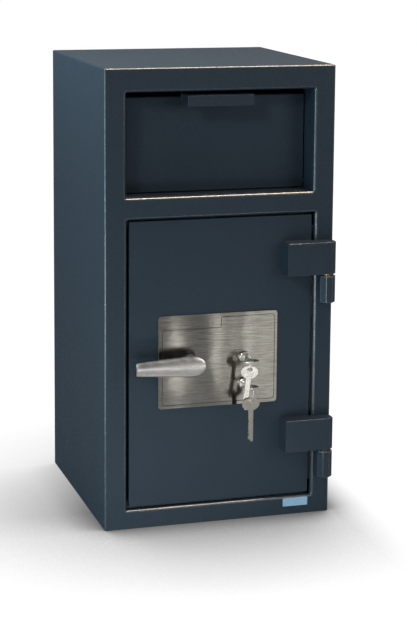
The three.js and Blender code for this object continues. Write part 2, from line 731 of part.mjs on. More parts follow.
// The bar's outline has an arm for each stud, one for the crank and one for each lock
function boltBar() {
  const arm = (right, bottom, top) =>
    slab("y", rectangle(BAR_LEFT, right, bottom, top, 3), BAR_FRONT, BAR_BACK);
  const past = 45; // of the spine's ends from the outer bolts
  const spineShape = rectangle(
    BAR_LEFT, BAR_RIGHT, BOLT_HEIGHTS.lower - past, BOLT_HEIGHTS.upper + past, 5,
  );
  const spine = slab("y", spineShape, BAR_FRONT, BAR_BACK);
  const studArms = Object.values(STUD_HEIGHTS).map((z) => arm(STUD_X + 46, z - 13, z + 13));
  const pinX = HANDLE_X + CRANK_RADIUS * Math.sin(degrees(CRANK_START));
  const pinHigh = HANDLE_Z - CRANK_RADIUS * Math.cos(degrees(CRANK_START));
  const pinLow = HANDLE_Z - CRANK_RADIUS;
  const crankArm = arm(pinX + 16, pinLow - 14, pinHigh + 10);
  const upperEdge = LOCK_UPPER_Z + LOCK_CASE_TOP + 3;
  const lowerEdge = LOCK_LOWER_Z - LOCK_CASE_TOP - 3;
  const lockArms = [
    arm(LOCK_X + 42, upperEdge, upperEdge + 26),
    arm(LOCK_X + 42, lowerEdge - 26, lowerEdge),
  ];
  const through = [BAR_FRONT - 1, BAR_BACK + 1];
  const studSlots = Object.values(STUD_HEIGHTS).map((z) => {
    const half = STUD_NECK + 0.7;
    const slot = rectangle(STUD_X - 5, STUD_X + BOLT_THROW + 5, z - half, z + half, 4.5, 4);
    return slab("y", slot, ...through);
  });
  const room = CRANK_PIN + 0.7;
  const crankHole = rectangle(pinX - room, pinX + room, pinLow - room, pinHigh + room, 3.5, 4);
  const crankSlot = slab("y", crankHole, ...through);
  const notches = [0, BOLT_THROW].flatMap((shift) => {
    const sides = [LOCK_X + shift - TONGUE - 1.5, LOCK_X + shift + TONGUE + 1.5];
    return [
      block(...sides, ...through, upperEdge - 1, upperEdge + 12),
      block(...sides, ...through, lowerEdge - 12, lowerEdge + 1),
    ];
  });
  return cut(join(spine, ...studArms, crankArm, ...lockArms), ...studSlots, crankSlot, ...notches);
}

// A round bolt whose rear end is forked over the bar; x is measured from its drawn-back tip
function bolt() {
  const length = BAR_RIGHT - BOLT_TIP - 4;
  const chamfer = 1.5;
  const round = turned([
    [0, 0],
    [BOLT_RADIUS - chamfer, 0],
    [BOLT_RADIUS, chamfer],
    [BOLT_RADIUS, length],
    [0, length],
  ], 28);
  const lying = round.rotate([0, 0, -90]);
  const half = (BAR_BACK - BAR_FRONT) / 2 + GAP;
  const root = BAR_LEFT - BOLT_TIP - GAP;
  return cut(lying, block(root, length + 1, -half, half, -BOLT_RADIUS - 1, BOLT_RADIUS + 1));
}

// Across the lever at a station x from its axis: where it is centred, how tall and how deep
function leverSection(x) {
  const share = THREE.MathUtils.clamp((x - LEVER_ROUND) / (LEVER_NOSE - LEVER_ROUND), 0, 1);
  const taper = THREE.MathUtils.clamp((x - LEVER_TIP) / (LEVER_ROUND - LEVER_TIP), 0, 1);
  const close = Math.pow(Math.max(0.004, 1 - Math.pow(share, 2.5)), 1 / 2.5);
  return {
    middle: THREE.MathUtils.lerp(1.5, -1, taper),
    half: THREE.MathUtils.lerp(14.5, 22.3, taper) * close,
    front: LEVER_FRONT + 7 * Math.pow(taper, 0.8) + 1.5 * share * share,
    back: LEVER_BACK + 1.5 * taper,
  };
}

function leverStations() {
  const steps = 7;
  const shares = Array.from({ length: steps + 1 }, (_, i) => i / steps);
  const shaft = shares.map((share) =>
    THREE.MathUtils.lerp(LEVER_TIP + TIP_CHAMFER, LEVER_ROUND - 2.5, share),
  );
  const nose = shares.map((share) =>
    THREE.MathUtils.lerp(LEVER_ROUND, LEVER_NOSE, Math.sin((share * Math.PI) / 2)),
  );
  return [LEVER_TIP, ...shaft, ...nose];
}

// The lever is lofted through rounded sections, and stands on a round neck with a square socket
function handleLever() {
  const rings = leverStations().map((x) => {
    const { middle, half, front, back } = leverSection(x);
    const inset = x === LEVER_TIP ? TIP_CHAMFER : 0;
    const tall = half - inset;
    const radius = Math.min(3, tall * 0.8);
    const shape = rectangle(front + inset, back - inset, middle - tall, middle + tall, radius, 3);
    return shape.getPoints().map((p) => new THREE.Vector3(x, p.x, p.y));
  });
  const [root, waist, foot] = [15, 12.5, 15.5]; // the neck's radii
  const inside = LEVER_BACK - 1.5;
  const seat = PLATE_FACE - GAP;
  const neck = turned([
    [0, inside],
    [root, inside],
    [waist, inside + 10],
    [waist, seat - 8.5],
    [foot, seat - 2.5],
    [foot, seat],
    [0, seat],
  ]);
  return cut(join(solid(loft(rings)), neck), squareBore(SPINDLE_FRONT - GAP, seat + 1));
}

// A closed skin through rings that all have the same number of points
function loft(rings) {
  const count = rings[0].length;
  const points = rings.flat();
  const index = [];
  for (let r = 0; r + 1 < rings.length; r += 1) {
    for (let i = 0; i < count; i += 1) {
      const a = r * count + i;
      const b = r * count + ((i + 1) % count);
      index.push(a, b, a + count, b, b + count, a + count);
    }
  }
  const ends = [0, rings.length - 1].map((r) => {
    const middle = rings[r].reduce((sum, p) => sum.add(p), new THREE.Vector3());
    points.push(middle.divideScalar(count));
    return points.length - 1;
  });
  const last = (rings.length - 1) * count;
  for (let i = 0; i < count; i += 1) {
    const next = (i + 1) % count;
    index.push(ends[0], next, i);
    index.push(ends[1], last + i, last + next);
  }
  const geometry = new THREE.BufferGeometry().setFromPoints(points);
  geometry.setIndex(index);
  return geometry;
}

// What cuts the spindle's square socket
function squareBore(front, back) {
  const half = SPINDLE / 2 + GAP;
  return block(-half, half, front, back, -half, half);
}

// An arm on the spindle whose pin works in the bar's upright slot
function handleCrank() {
  const pinX = CRANK_RADIUS * Math.sin(degrees(CRANK_START));
  const pinZ = -CRANK_RADIUS * Math.cos(degrees(CRANK_START));
  const along = new THREE.Vector2(pinX, pinZ).normalize();
  const across = new THREE.Vector2(-along.y, along.x);
  const [hub, eye] = [14, 7]; // the radii of the arm's two ends
  const [wide, narrow] = [hub - 1, eye - 0.5];
  const web = outline([
    [across.x * wide, across.y * wide],
    [pinX + across.x * narrow, pinZ + across.y * narrow],
    [pinX - across.x * narrow, pinZ - across.y * narrow],
    [-across.x * wide, -across.y * wide],
  ]);
  const back = BAR_FRONT - 2.5;
  const front = back - 6;
  const arm = join(
    slab("y", web, front, back),
    rod("y", 0, 0, hub, front - 1, back),
    rod("y", pinX, pinZ, eye, front, back, 20),
    rod("y", pinX, pinZ, CRANK_PIN, back - 1, BAR_BACK + 2, 16),
  );
  return cut(arm, squareBore(front - 2, back + 1));
}

function makeBoltwork(door) {
  const turning = group(door, HANDLE_X, 0, HANDLE_Z);
  piece(turning, "handle_lever", handleLever(), nickel);
  const flat = SPINDLE / 2;
  const spindle = block(-flat, flat, SPINDLE_FRONT, BAR_FRONT - 2, -flat, flat);
  piece(turning, "handle_spindle", spindle, zinc);
  piece(turning, "handle_crank", handleCrank(), zinc);
  piece(door, "bolt_bar", boltBar(), zinc);
  for (const [name, z] of Object.entries(BOLT_HEIGHTS)) {
    const place = group(door, BOLT_TIP, BAR_MIDDLE, z);
    piece(place, `bolt_${name}`, bolt(), chrome);
  }
}

// The locks. Each is drawn for the upper place, where its bolt rises; the lower is turned over.

function lockCylinder() {
  const face = PLATE_FACE - 5.2;
  const bead = face - 1; // the raised ring round the plug
  const seat = PLATE_FACE - GAP;
  const end = CAM_FRONT - 1;
  const profile = [
    [PLUG_RADIUS + GAP, face],
    [CYLINDER_RADIUS - 0.8, face],
    [CYLINDER_RADIUS, bead],
    [RIM_RADIUS - 1.2, bead],
    [RIM_RADIUS, bead + 1.6],
    [RIM_RADIUS, seat],
    [CYLINDER_RADIUS, seat],
    [CYLINDER_RADIUS, end],
    [PLUG_RADIUS + GAP, end],
    [PLUG_RADIUS + GAP, face],
  ];
  return turned(profile, 28);
}

function lockPlug() {
  const face = PLATE_FACE - 5.4;
  const end = -200;
  const barrel = turned([
    [0, face],
    [PLUG_RADIUS - 0.6, face],
    [PLUG_RADIUS, face + 0.6],
    [PLUG_RADIUS, end],
    [0, end],
  ], 28);
  const keyway = KEY_BLADE + GAP;
  const slit = KEY_THICK / 2 + GAP;
  return cut(barrel, block(-keyway, keyway, face - 1, end + 1, -slit, slit));
}

// A collar on the plug whose pin lifts the lock bolt; it starts 45 degrees below the left
function lockCam(up) {
  const start = degrees(225);
  const pinX = LOCK_CRANK * Math.cos(start);
  const pinZ = up * LOCK_CRANK * Math.sin(start);
  const back = CAM_FRONT + 5;
  const collar = join(
    rod("y", 0, 0, 9, CAM_FRONT, back),
    rod("y", pinX, pinZ, 4, CAM_FRONT, back, 16),
    rod("y", pinX, pinZ, 1.8, back - 0.5, BAR_BACK + 1, 12),
  );
  return cut(collar, rod("y", 0, 0, PLUG_RADIUS + GAP, CAM_FRONT - 1, back + 1));
}

// A sliding frame round the plug: its tongue stands out of the case into the bar's notch
function lockBolt(up) {
  const window = PLUG_RADIUS + 0.6;
  const pinZ = -LOCK_THROW / 2;
  const flip = (corners) => corners.map(([x, z, r]) => [x, up * z, r]);
  const [left, right, bottom, shoulder] = [-15, 10.5, -23.8, 11];
  const tip = LOCK_CASE_TOP + 1.4;
  const body = outline(flip([
    [left, bottom, 1],
    [right, bottom, 1],
    [right, shoulder, 1],
    [TONGUE, shoulder],
    [TONGUE, tip, 1],
    [-TONGUE, tip, 1],
    [-TONGUE, shoulder],
    [left, shoulder, 1],
  ]));
  const hole = outline(flip([
    [-window, -window - LOCK_THROW],
    [window, -window - LOCK_THROW],
    [window, window],
    [-window, window],
  ]));
  const slot = outline(flip([
    [left + 3, pinZ - 2.5],
    [0, pinZ - 2.5],
    [0, pinZ + 2.5],
    [left + 3, pinZ + 2.5],
  ]));
  const holes = [hole, slot].map((shape) => slab("y", shape, BAR_FRONT - 1, BAR_BACK + 1));
  return cut(slab("y", body, BAR_FRONT, BAR_BACK), ...holes);
}

// A shallow tray screwed to the back of the leaf, open towards it, with a slot for the tongue
function lockCase(up) {
  const front = LEAF_BACK + GAP;
  const back = -197;
  const skin = 2.5;
  const [left, right] = [-19, 15];
  const [low, high] = [-26.5 * up, LOCK_CASE_TOP * up].sort((a, b) => a - b);
  const box = slab("y", rectangle(left, right, low, high, 2), front, back);
  const hollow = block(left + skin, right - skin, front - 1, back - skin, low + skin, high - skin);
  const [from, to] = [20 * up, 32 * up].sort((a, b) => a - b);
  const room = 0.6; // round the tongue
  const half = TONGUE + room;
  return cut(box, hollow, block(-half, half, BAR_FRONT - room, BAR_BACK + room, from, to));
}

// A key drawn upright in XZ, its bow's outer edge at the origin and its blade hanging down
function keyBlank() {
  const edge = KEY_BLADE;
  const wide = KEY_BOW;
  const middle = -13; // where the bow is widest
  const shoulder = -27;
  const blank = new THREE.Shape();
  blank.moveTo(edge, -KEY_LENGTH + 2);
  blank.lineTo(edge, shoulder);
  blank.bezierCurveTo(0.7 * wide, shoulder + 1.5, wide, middle - 6, wide, middle);
  blank.bezierCurveTo(wide, -5, 0.53 * wide, 0, 0, 0);
  blank.bezierCurveTo(-0.53 * wide, 0, -wide, -5, -wide, middle);
  blank.bezierCurveTo(-wide, middle - 6, -0.7 * wide, shoulder + 1.5, -edge, shoulder);
  for (const [top, bottom, deep] of KEY_CUTS) {
    blank.lineTo(-edge, -top);
    blank.lineTo(-edge + deep, -top - 0.8);
    blank.lineTo(-edge + deep, -bottom + 0.8);
    blank.lineTo(-edge, -bottom);
  }
  blank.lineTo(-edge, -KEY_LENGTH + 5);
  blank.lineTo(-1, -KEY_LENGTH + 5);
  blank.lineTo(0.5, -KEY_LENGTH);
  blank.lineTo(edge - 1.5, -KEY_LENGTH);
  const [low, high] = [-1, 1].map((side) => -KEY_HOLE_DEPTH + side * KEY_HOLE);
  blank.holes.push(rectangle(-6, 6, low, high, 3.4));
  return blank;
}

function key() {
  const geometry = new THREE.ExtrudeGeometry(keyBlank(), {
    depth: KEY_THICK,
    bevelEnabled: false,
    curveSegments: 5,
  });
  geometry.rotateX(Math.PI / 2);
  geometry.translate(0, KEY_THICK / 2, 0);
  return solid(geometry);
}

// A split ring of two close turns, lying in the YZ plane about the origin
function splitRing(inner) {
  const wire = 1.7;
  const outer = inner + wire;
  const half = 0.9;
  const soft = 0.4; // of each turn's edges
  const section = [
    [inner, half - soft],
    [inner, -half + soft],
    [inner + soft, -half],
    [outer - soft, -half],
    [outer, -half + soft],
    [outer - soft / 2, 0],
    [outer, half - soft],
    [outer - soft, half],
    [inner + soft, half],
    [inner, half - soft],
  ];
  const points = section.map(([radius, along]) => new THREE.Vector2(radius, along));
  const geometry = new THREE.LatheGeometry(points, 26);
  geometry.rotateZ(Math.PI / 2);
  return solid(geometry);
}

// How each lock's ring hangs on the bow of its inserted key, and the spare key on the ring: the
// ring's inner radius, how far its middle is from the bow's bridge and at what angle outwards it
// leans, its place across and sideways lean, then where the spare hangs and how it leans.
const KEY_RINGS = {
  upper: {
    inner: 7.6, reach: 4.9, tilt: 40, x: -3, lean: 0,
    spareX: -4.2, spareY: -299.1, spareZ: -6.7, spareLean: 7.6,
  },
  lower: {
    inner: 13.5, reach: 10.8, tilt: 20, x: 0.5, lean: 9,
    spareX: -3.5, spareY: -303.4, spareZ: -18, spareLean: 0,
  },
};

function makeLock(door, name, z, up) {
  const lock = group(door, LOCK_X, 0, z);
  piece(lock, `lock_cylinder_${name}`, lockCylinder(), nickel);
  piece(lock, `lock_case_${name}`, lockCase(up), zinc);
  piece(lock, `lock_bolt_${name}`, lockBolt(up), brass);
  piece(lock, `lock_plug_${name}`, lockPlug(), nickel);
  piece(lock, `lock_cam_${name}`, lockCam(up), zinc);
  const inserted = piece(lock, `key_${name}`, key(), nickel);
  inserted.rotation.x = Math.PI / 2;
  inserted.position.y = KEY_OUTER_Y;
  const hang = KEY_RINGS[name];
  const bridge = KEY_OUTER_Y + (KEY_HOLE_DEPTH - KEY_HOLE) / 2;
  const loop = group(lock, hang.x, bridge, 0);
  loop.rotation.y = degrees(hang.lean);
  const ring = piece(loop, `key_ring_${name}`, splitRing(hang.inner), chrome);
  const tilt = degrees(hang.tilt);
  ring.position.set(0, -hang.reach * Math.sin(tilt), -hang.reach * Math.cos(tilt));
  const spare = piece(lock, `spare_key_${name}`, key(), nickel);
  spare.position.set(hang.spareX, hang.spareY, hang.spareZ);
  spare.rotation.y = degrees(hang.spareLean);
}

const safe = new THREE.Group();
const body = makeBody(safe);
makeHopper(safe, body);
const door = makeDoor(safe);
for (const name of Object.keys(BLOCK_BOTTOMS)) makeHinge(body, door, name);
makeBoltwork(door);
makeLock(door, "upper", LOCK_UPPER_Z, 1);
makeLock(door, "lower", LOCK_LOWER_Z, -1);

export default safe;
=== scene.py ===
# %% [markdown]
# # A drop safe with a tilting deposit hopper
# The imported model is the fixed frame: it says where every piece is. This notebook gives each
# piece its finish, and builds finer meshes for what a customer sees and handles: the welded
# shell, the lever, the locks, the keys and their split rings.

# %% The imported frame
import json
import math

import bmesh
import bpy
from mathutils import Matrix, Vector

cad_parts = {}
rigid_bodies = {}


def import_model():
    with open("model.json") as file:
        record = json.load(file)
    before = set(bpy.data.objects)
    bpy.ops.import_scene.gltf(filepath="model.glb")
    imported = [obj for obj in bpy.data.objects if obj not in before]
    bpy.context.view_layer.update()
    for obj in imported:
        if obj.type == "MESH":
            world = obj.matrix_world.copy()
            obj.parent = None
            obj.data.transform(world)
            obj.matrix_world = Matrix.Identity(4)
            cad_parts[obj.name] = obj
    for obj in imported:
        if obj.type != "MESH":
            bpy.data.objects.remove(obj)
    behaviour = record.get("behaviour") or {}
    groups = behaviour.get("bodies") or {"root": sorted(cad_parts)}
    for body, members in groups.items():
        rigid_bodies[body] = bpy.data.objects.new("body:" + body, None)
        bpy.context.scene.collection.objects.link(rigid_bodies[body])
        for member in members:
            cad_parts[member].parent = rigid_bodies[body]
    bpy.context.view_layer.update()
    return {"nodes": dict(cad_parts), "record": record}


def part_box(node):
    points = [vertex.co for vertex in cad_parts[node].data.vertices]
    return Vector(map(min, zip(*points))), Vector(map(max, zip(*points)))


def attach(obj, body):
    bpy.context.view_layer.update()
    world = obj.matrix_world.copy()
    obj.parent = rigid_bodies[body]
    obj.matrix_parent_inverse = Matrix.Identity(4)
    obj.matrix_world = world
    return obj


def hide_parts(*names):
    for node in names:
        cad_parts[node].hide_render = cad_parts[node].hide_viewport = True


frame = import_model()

nodes = frame["nodes"]
slot_of_node = {row["node"]: row["material_slot"] for row in frame["record"]["subparts"]}
MM = 0.001

# %% [markdown]
# ## The camera
# The photograph was taken from the front left, a little above the top, and its uprights were
# straightened. A small vertical shift does part of that straightening: the camera tilts less and
# looks through the upper part of its lens. The numbers come from matching the cabinet's corners.

# %% Camera
IMAGE_WIDTH, IMAGE_HEIGHT = 417, 640
SENSOR = 36.0
FOCAL_PIXELS = 1816
CAMERA_PLACE = Vector((-1.141, -3.869, 1.319))
YAW, PITCH, ROLL = (math.radians(a) for a in (17.09, 8.91, 0.47))
SHIFT = -0.2


def aim(yaw, pitch, roll):
    """A camera's rotation: yaw turns it from +Y towards +X, pitch tips it down, and roll turns
    it anticlockwise. All three are in radians."""
    ahead = Vector((math.sin(yaw) * math.cos(pitch), math.cos(yaw) * math.cos(pitch), -math.sin(pitch)))
    side = Vector((math.cos(yaw), -math.sin(yaw), 0))
    up = side.cross(ahead)
    right = math.cos(roll) * side + math.sin(roll) * up
    up = math.cos(roll) * up - math.sin(roll) * side
    return Matrix((right, up, -ahead)).transposed().to_4x4()


lens = bpy.data.cameras.new("camera")
lens.sensor_width = SENSOR
lens.lens = FOCAL_PIXELS / IMAGE_HEIGHT * SENSOR
lens.shift_y = SHIFT
lens.clip_end = 60
camera = bpy.data.objects.new("camera", lens)
camera.matrix_world = Matrix.Translation(CAMERA_PLACE) @ aim(YAW, PITCH, ROLL)
bpy.context.scene.collection.objects.link(camera)
bpy.context.scene.camera = camera
print("lens", round(lens.lens, 1), "mm")

# %% [markdown]
# ## Finishes as expressions
# A finish is a small sum: a mask of noise, scaled and mixed into a colour. It could be wired by
# hand in the shader editor, but a sum is easier to read and to change when it is written as one.
# `Wire` wraps one output socket, and each operator adds a Math node. `Finish` is the material
# itself. Its one method `node` adds any other node: its settings are set first, because a setting
# can change which sockets there are, and then its sockets get values or wires.

# %% Wires and finishes
class Wire:
    """One socket that carries a value, a colour or a vector."""

    def __init__(self, finish, socket):
        self.finish = finish
        self.socket = socket

    def sum(self, operation, first, second):
        """The wire of a new Math node."""
        return self.finish.node("ShaderNodeMath", {"operation": operation}, {0: first, 1: second})

    def __add__(self, other):
        return self.sum("ADD", self, other)

    def __radd__(self, other):
        return self.sum("ADD", other, self)

    def __sub__(self, other):
        return self.sum("SUBTRACT", self, other)

    def __rsub__(self, other):
        return self.sum("SUBTRACT", other, self)

    def __mul__(self, other):
        return self.sum("MULTIPLY", self, other)

    def __rmul__(self, other):
        return self.sum("MULTIPLY", other, self)


class Finish:
    """A material whose nodes are added by expressions."""

    def __init__(self, name):
        self.material = bpy.data.materials.new(name)
        self.material.use_nodes = True
        self.tree = self.material.node_tree
        self.tree.nodes.clear()
        self.end = self.tree.nodes.new("ShaderNodeOutputMaterial")

    def node(self, kind, settings=None, inputs=None, output=0):
        """Adds a node of any kind and gives back one of its outputs."""
        made = self.tree.nodes.new(kind)
        for key, value in (settings or {}).items():
            if key == "stops":
                self.set_stops(made.color_ramp, value)
            else:
                setattr(made, key, value)
        for key, value in (inputs or {}).items():
            if isinstance(value, Wire):
                self.tree.links.new(value.socket, made.inputs[key])
            else:
                made.inputs[key].default_value = value
        return Wire(self, made.outputs[output])

    def set_stops(self, ramp, stops):
        """Gives a ramp its stops, each a place from 0 to 1 and a grey level."""
        while len(ramp.elements) < len(stops):
            ramp.elements.new(1.0)
        for element, (place, level) in zip(ramp.elements, stops):
            element.position = place
            element.color = (level, level, level, 1)

    def place(self, stretch=(1, 1, 1)):
        """Where a point of the piece is, in metres, stretched along each axis."""
        here = self.node("ShaderNodeTexCoord", output="Object")
        return self.node("ShaderNodeMapping", {}, {"Vector": here, "Scale": stretch})

    def noise(self, size, detail, stretch=(1, 1, 1)):
        """Cloudy noise from 0 to 1 whose lumps are about size metres wide."""
        inputs = {"Vector": self.place(stretch), "Scale": 1 / size, "Detail": detail}
        return self.node("ShaderNodeTexNoise", {}, inputs, "Fac")

    def ramp(self, value, *stops):
        """Bends a value: between two stops it runs from the one's level to the other's."""
        return self.node("ShaderNodeValToRGB", {"stops": stops}, {"Fac": value})

    def fade(self, value, first, last):
        """Runs from one level to another as the value does; each end is a (value, level) pair."""
        ends = {"From Min": first[0], "To Min": first[1], "From Max": last[0], "To Max": last[1]}
        return self.node("ShaderNodeMapRange", {}, {"Value": value, **ends})

    def mix(self, factor, first, second):
        """A blend of two colours."""
        inputs = {"Factor": factor, 6: first, 7: second}
        return self.node("ShaderNodeMix", {"data_type": "RGBA"}, inputs, 2)

    def bump(self, height, depth, **inputs):
        """Relief that is depth metres deep where height is 1."""
        return self.node("ShaderNodeBump", {}, {"Height": height, "Distance": depth, **inputs})

    def surface(self, **inputs):
        """Ends the material in a Principled shader. An underscore stands for each space in a
        socket's name."""
        named = {key.replace("_", " "): value for key, value in inputs.items()}
        shader = self.node("ShaderNodeBsdfPrincipled", {}, named)
        self.tree.links.new(shader.socket, self.end.inputs["Surface"])
        return self.material


def linear(level):
    """A screen's level from 0 to 1 as a share of light."""
    return level / 12.92 if level <= 0.04 else ((level + 0.055) / 1.055) ** 2.4


def colour(red, green, blue):
    """A colour written as on a screen, 0 to 255, turned into Blender's linear values."""
    return tuple(linear(c / 255) for c in (red, green, blue)) + (1,)


print("dark blue-grey is", [round(c, 3) for c in colour(46, 58, 70)])

# %% [markdown]
# ## Powder coat
# The cabinet is sprayed with a fine textured powder and baked. Up close it is a skin of small
# bumps about a millimetre wide, with bright flakes in it. A picture of such paint could be
# wrapped round the pieces, but it would stretch and show its seams. Noise in space has neither: it
# gives the slow clouds, the mottle, the grain, the bumps and the flakes, each at its own size.
#
# Where an edge is rubbed, the coat is thinner and smoother, so it shows more of its flakes and has
# more gloss. Each coat has a rubbed partner for its edges. The recess and the inner pieces have their
# own, more matt coat. Its tones are made lighter than the outside's as painted light, which lifts the
# recess where it lies in shade.

# %% Powder coat
CLOUD_SIZE, MOTTLE_SIZE, GRAIN_SIZE, FLAKE_SIZE = 0.16, 0.004, 0.0013, 0.0015
FINE_BUMP, WIDE_BUMP, BUMP_DEPTH = 0.0011, 0.0045, 0.00005
MOTTLE_TONE, FLAKE_TONE = colour(66, 78, 88), colour(186, 180, 168)
OUTER_TONES = colour(36, 48, 58), colour(40, 52, 62)
# The inner tones are lighter than the outer ones as painted light, for the recess that lies in shade.
INNER_TONES_PAINTED_LIGHTER = colour(38, 51, 62), colour(44, 57, 68)
RUBBED = {"sparkle": 0.3, "gloss": 0.8, "gloss_index": 1.8}


def powder_coat(name, tones, roughness, sparkle=0.04, gloss=0.03, gloss_index=1.5):
    """A coat between two tones; sparkle is how bright its flakes are, gloss how much it shines."""
    finish = Finish(name)
    clouds = finish.mix(finish.noise(CLOUD_SIZE, 2), *tones)
    mottle = finish.ramp(finish.noise(MOTTLE_SIZE, 2), (0.35, 0.0), (0.65, 0.10))
    grain = finish.noise(GRAIN_SIZE, 2)
    flakes = finish.ramp(finish.noise(FLAKE_SIZE, 1), (0.58, 0.0), (0.68, 1.0))
    bumps = finish.noise(FINE_BUMP, 3) + 0.6 * finish.noise(WIDE_BUMP, 1)
    return finish.surface(
        Base_Color=finish.mix(flakes * sparkle, finish.mix(mottle, clouds, MOTTLE_TONE), FLAKE_TONE),
        Metallic=flakes * 0.9,
        Roughness=roughness + 0.10 * grain - 0.28 * flakes,
        Normal=finish.bump(bumps, BUMP_DEPTH),
        Specular_IOR_Level=0.1,
        Coat_Weight=gloss + 0.05 * flakes,
        Coat_IOR=gloss_index,
        Coat_Roughness=0.26,
    )


paint = powder_coat("powder_coat", OUTER_TONES, 0.60)
# The inner coat and its rubbed partner take those lighter tones: painted light for the shaded recess.
inner_paint = powder_coat("inner_coat_painted_lighter", INNER_TONES_PAINTED_LIGHTER, 0.66)
rubbed_paint = powder_coat("rubbed_powder_coat", OUTER_TONES, 0.50, **RUBBED)
rubbed_inner = powder_coat("rubbed_inner_coat_painted_lighter", INNER_TONES_PAINTED_LIGHTER, 0.55, **RUBBED)
EDGE_COATS = {paint: rubbed_paint, inner_paint: rubbed_inner}
print(len(EDGE_COATS), "powder coats, each with a rubbed one for its edges")

# %% [markdown]
# ## Brushed stainless
# The face plate was brushed from side to side before its border was printed. Brushing leaves
# hair lines, so its noise is stretched sixty times along X. Light spreads across the lines, which
# stretches each reflection up and down. Drawing each hair as relief would take a very fine mesh,
# so an anisotropic gloss does the stretching and a shallow bump breaks it up. A slow swell in the
# sheet bends those reflections. The zinc and the bare steel inside are drawn more coarsely, along
# Z, with the same function.

# %% Brushed stainless
HAIR_DEPTH = 0.00002
SWELL_WIDTH = 0.09
QUARTER_TURN = 0.25


def brushed_steel(name, dark, light, roughness, along, swell, anisotropy, turn=0.0):
    """Steel with hair lines: along stretches them, swell is the depth in metres of its waves."""
    finish = Finish(name)
    lines = 0.6 * finish.noise(0.02, 6, along) + 0.4 * finish.noise(0.006, 3, along)
    wear = finish.noise(0.05, 3)
    shorter = tuple(1 + 0.4 * (stretch - 1) for stretch in along)
    strokes = finish.ramp(finish.noise(0.03, 5, shorter), (0.3, 0.0), (0.7, 1.0))
    wave = finish.bump(finish.noise(SWELL_WIDTH, 1), swell)
    return finish.surface(
        Base_Color=finish.mix(0.6 * strokes + 0.4 * lines, dark, light),
        Metallic=1.0,
        Roughness=roughness + 0.12 * (lines - 0.5) + 0.06 * wear,
        Anisotropic=anisotropy,
        Anisotropic_Rotation=turn,
        Normal=finish.bump(lines, HAIR_DEPTH, Strength=0.6, Normal=wave),
    )


stainless = brushed_steel(
    "brushed_stainless", colour(106, 103, 98), colour(160, 157, 150), 0.12,
    along=(1, 60, 60), swell=0.0008, anisotropy=0.9, turn=QUARTER_TURN,
)
zinc = brushed_steel(
    "zinc_plate", colour(150, 156, 160), colour(188, 194, 196), 0.34,
    along=(20, 20, 1), swell=0.0001, anisotropy=0.3,
)
bare_steel = brushed_steel(
    "oiled_steel", colour(118, 119, 120), colour(160, 160, 158), 0.36,
    along=(12, 12, 1), swell=0.0001, anisotropy=0.3,
)
print("stainless, zinc and bare steel ready")

# %% [markdown]
# ## Satin nickel, bright chrome and brass
# The lever is satin nickel: soft reflections, faint marks from hands. Keys and rims are brighter
# and pick up scratches, apart from the lower spare key, which is duller. The rings are chrome and
# the washers are turned brass. They differ only in colour and in how sharply they reflect, so one
# function makes them all.

# %% Plated metals
SCRATCH_DEPTH = 0.00001


def plated(name, dark, light, roughness):
    """Smooth metal with the marks of hands and fine upright scratches."""
    finish = Finish(name)
    handling = finish.noise(0.018, 4)
    scratches = finish.ramp(finish.noise(0.003, 2, (1, 1, 14)), (0.55, 0.0), (0.72, 1.0))
    return finish.surface(
        Base_Color=finish.mix(handling, dark, light),
        Metallic=1.0,
        Roughness=roughness + 0.10 * handling + 0.08 * scratches,
        Normal=finish.bump(scratches, SCRATCH_DEPTH),
    )


nickel = plated("satin_nickel", colour(184, 181, 177), colour(206, 204, 200), 0.18)
bright_nickel = plated("bright_nickel", colour(196, 194, 188), colour(222, 220, 214), 0.14)
satin_key = plated("satin_key_nickel", colour(150, 146, 138), colour(176, 172, 163), 0.34)
chrome = plated("bright_chrome", colour(205, 206, 208), colour(226, 227, 228), 0.08)
brass = plated("turned_brass", colour(196, 146, 62), colour(226, 178, 92), 0.22)
print("nickel, chrome and brass ready")

# %% [markdown]
# ## Label and ink
# The sticker is a pale film with nothing printed on it. The plate's border is black ink. Both lie
# so thin that only their colour and their dull gloss show, so neither needs any metal or coat.

# %% Film and ink
def plain_film(name, dark, light, roughness):
    """A thin layer with a little fibre in it."""
    finish = Finish(name)
    fibre = finish.noise(0.004, 3)
    return finish.surface(
        Base_Color=finish.mix(fibre, dark, light),
        Roughness=roughness + 0.1 * fibre,
        Normal=finish.bump(finish.noise(0.002, 2), 0.00002),
    )


label_film = plain_film("label_film", colour(120, 158, 186), colour(140, 176, 202), 0.35)
black_ink = plain_film("black_ink", colour(16, 16, 17), colour(26, 26, 28), 0.45)
print("film and ink ready")

# %% [markdown]
# ## Edges
# No real edge is perfectly sharp: a folded, cut or cast edge has a small round that catches the
# light, and the coat of paint rounds it more. The rounds could be modelled, but four modifiers
# give them to each piece without touching its mesh: weld the loose triangles, dissolve the flat
# ones into whole faces, bevel what is still sharp, and weight the normals so that the flat faces
# stay flat.
#
# The bevel's profile is a little flatter than a full round, which keeps the glint to a narrow
# line. On a painted piece its faces take the rubbed coat, as the piece's second material.

# %% Edges and finishes for the frame's own pieces
FINISHES = {
    "paint": paint,
    "inner_paint": inner_paint,
    "stainless": stainless,
    "nickel": bright_nickel,
    "zinc_plate": zinc,
    "bare_steel": bare_steel,
    "brass": brass,
    "chrome": chrome,
    "label": label_film,
}
EDGE_WIDTHS = {
    "paint": 0.9 * MM,
    "inner_paint": 0.5 * MM,
    "stainless": 0.1 * MM,
    "label": 0.08 * MM,
}
PLAIN_EDGE = 0.3 * MM
SAME_POINT = 0.01 * MM
SAME_PLANE = math.radians(0.6)
EDGE_PROFILE = 0.38
FLAT_WEIGHT = 80


